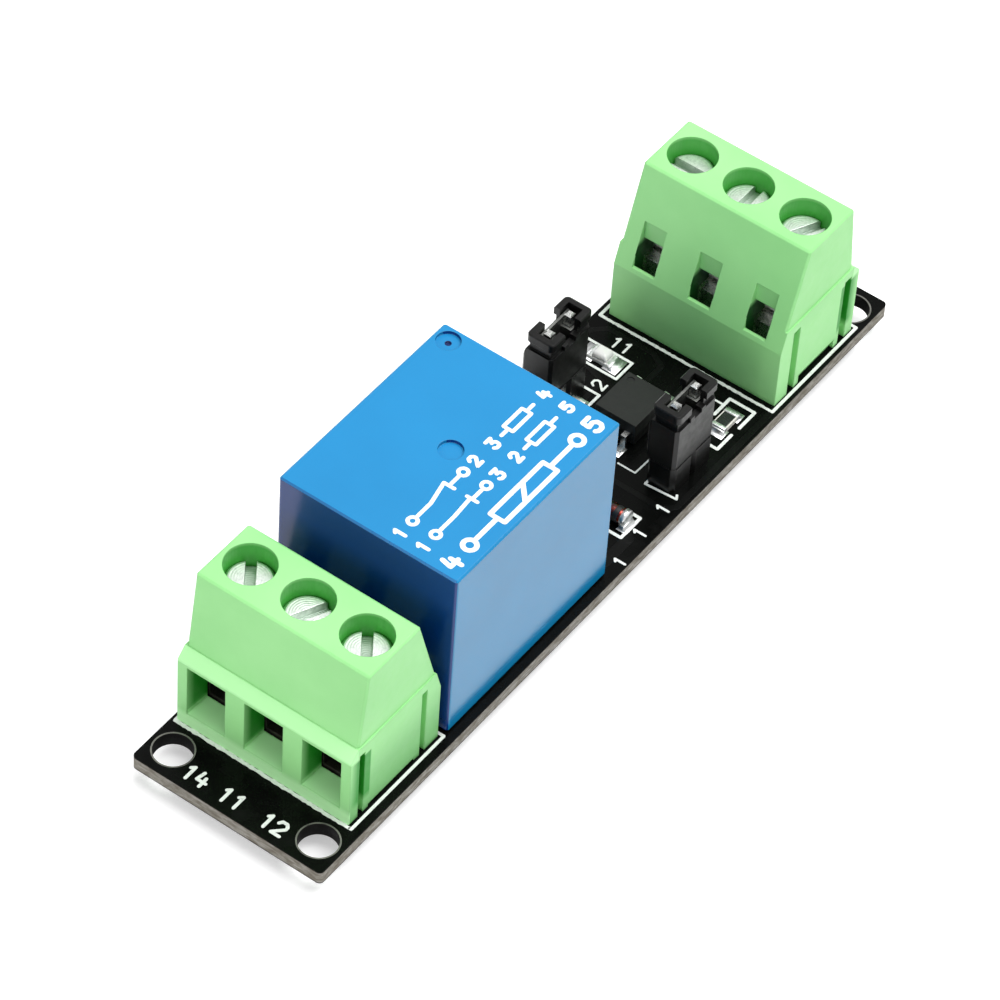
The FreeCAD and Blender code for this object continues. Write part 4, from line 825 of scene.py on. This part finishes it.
def add_fillet(bm, x0, x1, edge, side, reach, height):
    """Solder that rises in a hollow curve from its pad to the end of a part lying along y."""
    steps = 6
    sections = []
    for x, share in ((x0 - 0.08, 0.55), (x0, 0.92), ((x0 + x1) / 2, 1.0), (x1, 0.92), (x1 + 0.08, 0.55)):
        section = []
        for step in range(steps + 1):
            t = step / steps
            rise = 0.02 + height * share * (1 - t) ** 2.2
            section.append(bm.verts.new((x, edge + side * reach * share * t, BOARD_TOP + rise)))
        section.append(bm.verts.new((x, edge + side * reach * share, BOARD_TOP)))
        section.append(bm.verts.new((x, edge - side * 0.02, BOARD_TOP)))
        sections.append(section)
    turned = 1 if side > 0 else -1
    for a, b in zip(sections, sections[1:]):
        for i in range(len(a)):
            j = (i + 1) % len(a)
            bm.faces.new((a[i], b[i], b[j], a[j])[::turned])
    bm.faces.new(sections[0][::turned])
    bm.faces.new(sections[-1][::-turned])


def add_pad(bm, xs, ys, bevel=0.012):
    """A bare tinned pad on the component side, between two x and two y in any order."""
    (x0, x1), (y0, y1) = sorted(xs), sorted(ys)
    add_round_box(bm, (x0, y0, BOARD_TOP - SUNK), (x1, y1, BOARD_TOP + COPPER), bevel, 1)


def chip_solder(bm):
    """Pads and solder at both ends of the chip resistors."""
    for node in RESISTORS:
        low, high = box_mm(node)
        for edge, side in ((low.y, -1), (high.y, 1)):
            add_pad(bm, (low.x - 0.12, high.x + 0.12), (edge - side * 0.5, edge + side * 0.52))
            add_fillet(bm, low.x + 0.04, high.x - 0.04, edge, side, 0.42, 0.42)


def lead_solder(bm):
    """Pads and solder at the feet of the optocoupler, the transistor, the diode and the lamp."""
    feet = []
    low, high = box_mm("optocoupler_leads")
    for x in (low.x + 0.22, high.x - 0.22):
        feet += [(x, low.y, -1), (x, high.y, 1)]
    low, high = box_mm("drive_transistor")
    middle = (low.x + high.x) / 2
    feet += [(middle - 0.95, low.y, -1), (middle + 0.95, low.y, -1), (middle, high.y, 1)]
    for x, edge, side in feet:
        add_pad(bm, (x - 0.38, x + 0.38), (edge - side * 0.75, edge + side * 0.38))
        add_fillet(bm, x - 0.2, x + 0.2, edge, side, 0.3, 0.16)
    # The diode and the lamp lie along x, so their fillets are made along y and turned
    for node, reach, spread in (("flyback_diode", 0.45, 0.06), ("status_led", 0.75, 0.22)):
        low, high = box_mm(node)
        for edge, side in ((low.x, -1), (high.x, 1)):
            ys = (low.y - spread, high.y + spread)
            add_pad(bm, (edge - side * 0.5, edge + side * reach), ys, 0.008)
            part = bmesh.new()
            add_fillet(part, low.y + 0.18 - spread, high.y - 0.18 + spread, 0.0, 1, reach * 0.85, 0.4)
            turn = Matrix.Rotation(math.radians(-90 * side), 3, "Z")
            bmesh.ops.rotate(part, cent=(0, 0, 0), matrix=turn, verts=part.verts)
            shift = (edge, low.y + high.y if side > 0 else 0, 0)
            bmesh.ops.translate(part, vec=shift, verts=part.verts)
            copy_into(bm, part)


def make_resistor(node):
    """A chip resistor: ceramic block, dark glaze on top, wrapped metal ends."""
    low, high = box_mm(node)

    def box_within(bm, inset, z0, z1, radius):
        """A rounded block inset along x and y from the resistor's own box."""
        dx, dy = inset
        add_round_box(bm, (low.x + dx, low.y + dy, z0), (high.x - dx, high.y - dy, z1), radius)

    def block(bm):
        box_within(bm, (0.02, 0.1), low.z + 0.04, high.z - 0.07, 0.03)

    def glaze(bm):
        box_within(bm, (0.13, 0.42), high.z - 0.12, high.z - 0.03, 0.03)

    def ends(bm):
        for y0, y1 in ((low.y, low.y + 0.4), (high.y - 0.4, high.y)):
            add_round_box(bm, (low.x, y0, low.z), (high.x, y1, high.z), 0.07, 3)

    piece(node + "_block", "board", MATERIALS["chip_ceramic"], block, replaces=(node,))
    piece(node + "_glaze", "board", MATERIALS["chip_glaze"], glaze)
    piece(node + "_ends", "board", MATERIALS["solder"], ends, smooth=True)


def make_lamp():
    """The surface-mount lamp: white carrier, metal ends, lit layer under a milky domed lens."""
    low, high = box_mm("status_led")
    middle_x, middle_y = (low.x + high.x) / 2, (low.y + high.y) / 2

    def carrier(bm):
        add_round_box(bm, (low.x + 0.05, low.y, low.z), (high.x - 0.05, high.y, low.z + 0.35), 0.04)

    def ends(bm):
        for x0, x1 in ((low.x, low.x + 0.32), (high.x - 0.32, high.x)):
            add_round_box(bm, (x0, low.y + 0.04, low.z), (x1, high.y - 0.04, low.z + 0.38), 0.05)

    def lit_layer(bm):
        corners = [
            (middle_x + side * 0.4, middle_y + side * 0.36, low.z + z) for side, z in ((-1, 0.33), (1, 0.42))
        ]
        add_round_box(bm, *corners, 0.03)

    def lens(bm):
        rings = []
        for inset, z in ((0.0, 0.355), (0.02, 0.62), (0.09, 0.8), (0.24, 0.9)):
            radius = 0.16 - inset * 0.3
            to_x, to_y = 0.66 - inset - radius, 0.6 - inset - radius
            ring = []
            for sx, sy, start in ((1, 1, 0), (-1, 1, 90), (-1, -1, 180), (1, -1, 270)):
                for step in range(5):
                    turn = math.radians(start + 22.5 * step)
                    x = middle_x + sx * to_x + radius * math.cos(turn)
                    y = middle_y + sy * to_y + radius * math.sin(turn)
                    ring.append(bm.verts.new((x, y, low.z + z)))
            rings.append(ring)
        add_skin(bm, rings)

    carrier_tone = MATERIALS["led_carrier"]
    piece("status_led_carrier", "board", carrier_tone, carrier, replaces=("status_led",))
    piece("status_led_ends", "board", MATERIALS["solder"], ends)
    piece("status_led_lit_layer", "board", MATERIALS["led_phosphor"], lit_layer)
    piece("status_led_lens", "board", MATERIALS["led_lens"], lens, smooth=True)


def make_diode():
    """The glass diode: metal ends, glass tube, the leads' slugs inside it and a dark band."""
    low, high = box_mm("flyback_diode")
    start = (low.x, (low.y + high.y) / 2, (low.z + high.z) / 2)
    radius = (high.z - low.z) / 2
    length = high.x - low.x

    def ends(bm):
        for near in (0.0, length - 0.45):
            shape = ((radius * 0.82, 0.0), (radius, 0.07), (radius, 0.38), (radius * 0.9, 0.45))
            add_lying_lathe(bm, start, [(r, near + far) for r, far in shape])

    def tube(bm):
        add_lying_lathe(bm, start, [
            (0.63, 0.4), (0.65, 0.55), (0.65, length - 0.55), (0.63, length - 0.4),
        ])

    def slugs(bm):
        for near, far in ((0.42, 1.55), (length - 1.55, length - 0.42)):
            shape = [(0.42, near), (0.46, near + 0.1), (0.46, far - 0.1), (0.4, far)]
            add_lying_lathe(bm, start, shape, 24)

    def band(bm):
        add_lying_lathe(bm, start, [
            (0.655, length - 1.05), (0.66, length - 1.0), (0.66, length - 0.7), (0.655, length - 0.66),
        ])

    piece("flyback_diode_ends", "board", MATERIALS["solder"], ends, True, ("flyback_diode",))
    piece("flyback_diode_tube", "board", MATERIALS["diode_glass"], tube, True)
    piece("flyback_diode_slugs", "board", MATERIALS["diode_slug"], slugs, True)
    piece("flyback_diode_band", "board", MATERIALS["diode_band"], band, True)


def reshaped(node, name, shift):
    """A piece that stands for a CAD node: its own mesh with shift(x, y, z) added, in millimetres."""
    source = NODES[node]
    material = source.material_slots[0].material

    def build(bm):
        bm.from_mesh(source.data)
        bmesh.ops.scale(bm, vec=(1 / MM, 1 / MM, 1 / MM), verts=bm.verts)
        for vertex in bm.verts:
            vertex.co += Vector(shift(*vertex.co))

    piece(name, "board", material, build, replaces=(node,))


def housing_shift(node):
    """Lower bottoms for the wire mouths, and inner window walls nearer to the sloping back."""
    x0, face, way = BLOCKS[node]

    def shift(x, y, z):
        from_pole = abs(((x - x0) / PITCH + 0.5) % 1 - 0.5) * PITCH
        inward, height = way * (y - face), z - BOARD_TOP
        if from_pole < 1.75 and inward < 2.3 and 1.6 < height < 2.0:
            return (0, 0, -0.5)
        if from_pole < 1.05 and 9.3 < inward < 9.5 and 3.3 < height < 6.0:
            return (0, way * 0.5, 0)
        return (0, 0, 0)

    return shift


def cover_shift():
    """Deeper round marks in the relay's top."""
    top = box_mm("relay_cover")[1].z

    def shift(x, y, z):
        in_mark = top - 0.2 < z < top - 0.1 and -7.7 < x < 7.5 and -19.6 < y < -0.75
        return (0, 0, -0.16 if in_mark else 0)

    return shift


def make_details():
    """Everything that the CAD leaves to this script."""
    for node in BLOCKS:
        reshaped(node, node + "_moulding", housing_shift(node))
    reshaped("relay_cover", "relay_cover_moulding", cover_shift())
    piece("board_print", "board", MATERIALS["ink"], print_board_top)
    piece("relay_print", "board", MATERIALS["cover_ink"], print_cover)
    piece("board_traces_top", "board", MATERIALS["mask"], traces_top)
    piece("board_traces_bottom", "board", MATERIALS["mask"], traces_bottom)
    piece("board_hole_rings", "board", MATERIALS["ring_tin"], hole_rings)
    piece("board_pads", "board", MATERIALS["solder"], pads)
    piece("board_solder", "board", MATERIALS["solder"], solder_cones, True, ("solder_joints",))
    piece("chip_solder", "board", MATERIALS["solder"], chip_solder, True)
    piece("lead_solder", "board", MATERIALS["solder"], lead_solder, True)
    for node in RESISTORS:
        make_resistor(node)
    make_lamp()
    make_diode()


# ---------------------------------------------------------------- studio

def area_light(name, place, target, size, power):
    """A square soft lamp that looks at a point; places in metres."""
    lamp = bpy.data.lights.new(name, "AREA")
    lamp.size = size
    lamp.energy = power
    thing = bpy.data.objects.new(name, lamp)
    thing.location = place
    thing.rotation_euler = (Vector(target) - Vector(place)).to_track_quat("-Z", "Y").to_euler()
    bpy.context.scene.collection.objects.link(thing)


def seen_directly(tree):
    """1 for camera, glossy and transmission rays, 0 for the rays that only carry soft light."""
    path = tree.nodes.new("ShaderNodeLightPath")
    total = path.outputs["Is Camera Ray"]
    for name in ("Is Glossy Ray", "Is Transmission Ray"):
        either = tree.nodes.new("ShaderNodeMath")
        either.operation = "MAXIMUM"
        tree.links.new(total, either.inputs[0])
        tree.links.new(path.outputs[name], either.inputs[1])
        total = either.outputs[0]
    return total


def make_floor():
    """A wide white floor. The camera and mirror-like faces see it lifted to white; its shadows stay."""
    mesh = bpy.data.meshes.new("studio_floor")
    half = 1.5
    corners = [(-half, -half, 0), (half, -half, 0), (half, half, 0), (-half, half, 0)]
    mesh.from_pydata(corners, [], [(0, 1, 2, 3)])
    floor = bpy.data.objects.new("studio_floor", mesh)
    bpy.context.scene.collection.objects.link(floor)
    material = bpy.data.materials.new("studio_floor")
    material.use_nodes = True
    tree = material.node_tree
    surface = tree.nodes["Principled BSDF"]
    surface.inputs["Base Color"].default_value = (0.82, 0.82, 0.82, 1)
    surface.inputs["Roughness"].default_value = 0.9
    surface.inputs["Specular IOR Level"].default_value = 0.0
    glow = tree.nodes.new("ShaderNodeEmission")
    glow.inputs["Strength"].default_value = 0.42
    total = tree.nodes.new("ShaderNodeAddShader")
    tree.links.new(surface.outputs[0], total.inputs[0])
    tree.links.new(glow.outputs[0], total.inputs[1])
    seen = tree.nodes.new("ShaderNodeMixShader")
    tree.links.new(seen_directly(tree), seen.inputs[0])
    tree.links.new(surface.outputs[0], seen.inputs[1])
    tree.links.new(total.outputs[0], seen.inputs[2])
    tree.links.new(seen.outputs[0], tree.nodes["Material Output"].inputs["Surface"])
    mesh.materials.append(material)


def make_world():
    """Soft light that comes mostly from above and behind, and white where it is seen directly."""
    world = bpy.data.worlds.new("studio")
    bpy.context.scene.world = world
    world.use_nodes = True
    tree = world.node_tree
    background = tree.nodes["Background"]
    place = tree.nodes.new("ShaderNodeTexCoord")
    towards = tree.nodes.new("ShaderNodeVectorMath")
    towards.operation = "DOT_PRODUCT"
    tree.links.new(place.outputs["Generated"], towards.inputs[0])
    towards.inputs[1].default_value = Vector((0.24, 0.45, 0.86)).normalized()
    ramp = tree.nodes.new("ShaderNodeValToRGB")
    tree.links.new(towards.outputs["Value"], ramp.inputs["Fac"])
    for stop, position, grey in zip(ramp.color_ramp.elements, (0.0, 1.0), (0.06, 0.75)):
        stop.position, stop.color = position, (grey, grey, grey, 1)
    tree.links.new(ramp.outputs["Color"], background.inputs["Color"])
    white = tree.nodes.new("ShaderNodeBackground")
    white.inputs["Strength"].default_value = 1.0
    mix = tree.nodes.new("ShaderNodeMixShader")
    tree.links.new(seen_directly(tree), mix.inputs[0])
    tree.links.new(background.outputs[0], mix.inputs[1])
    tree.links.new(white.outputs[0], mix.inputs[2])
    tree.links.new(mix.outputs[0], tree.nodes["World Output"].inputs["Surface"])


def make_camera():
    """The photograph's camera, fitted to the board's and the relay's corners."""
    camera = bpy.data.cameras.new("camera")
    camera.lens = 188.878
    camera.sensor_width = 36.0
    camera.clip_start, camera.clip_end = 0.01, 10.0
    thing = bpy.data.objects.new("camera", camera)
    thing.location = (0.138918, -0.215055, 0.289014)
    thing.rotation_euler = [math.radians(a) for a in (41.9154, -2.88, 36.5117)]
    bpy.context.scene.collection.objects.link(thing)
    bpy.context.scene.camera = thing


dress_all()
make_details()
make_floor()
make_world()
area_light("key", (0.12, 0.1, 0.5), (0, 0, 0), 0.45, 3.2)
area_light("front", (-0.03, -0.44, 0.21), (0, 0, 0.008), 0.25, 0.85)
make_camera()
bpy.context.scene.view_settings.view_transform = "Standard"

bpy.context.view_layer.update()
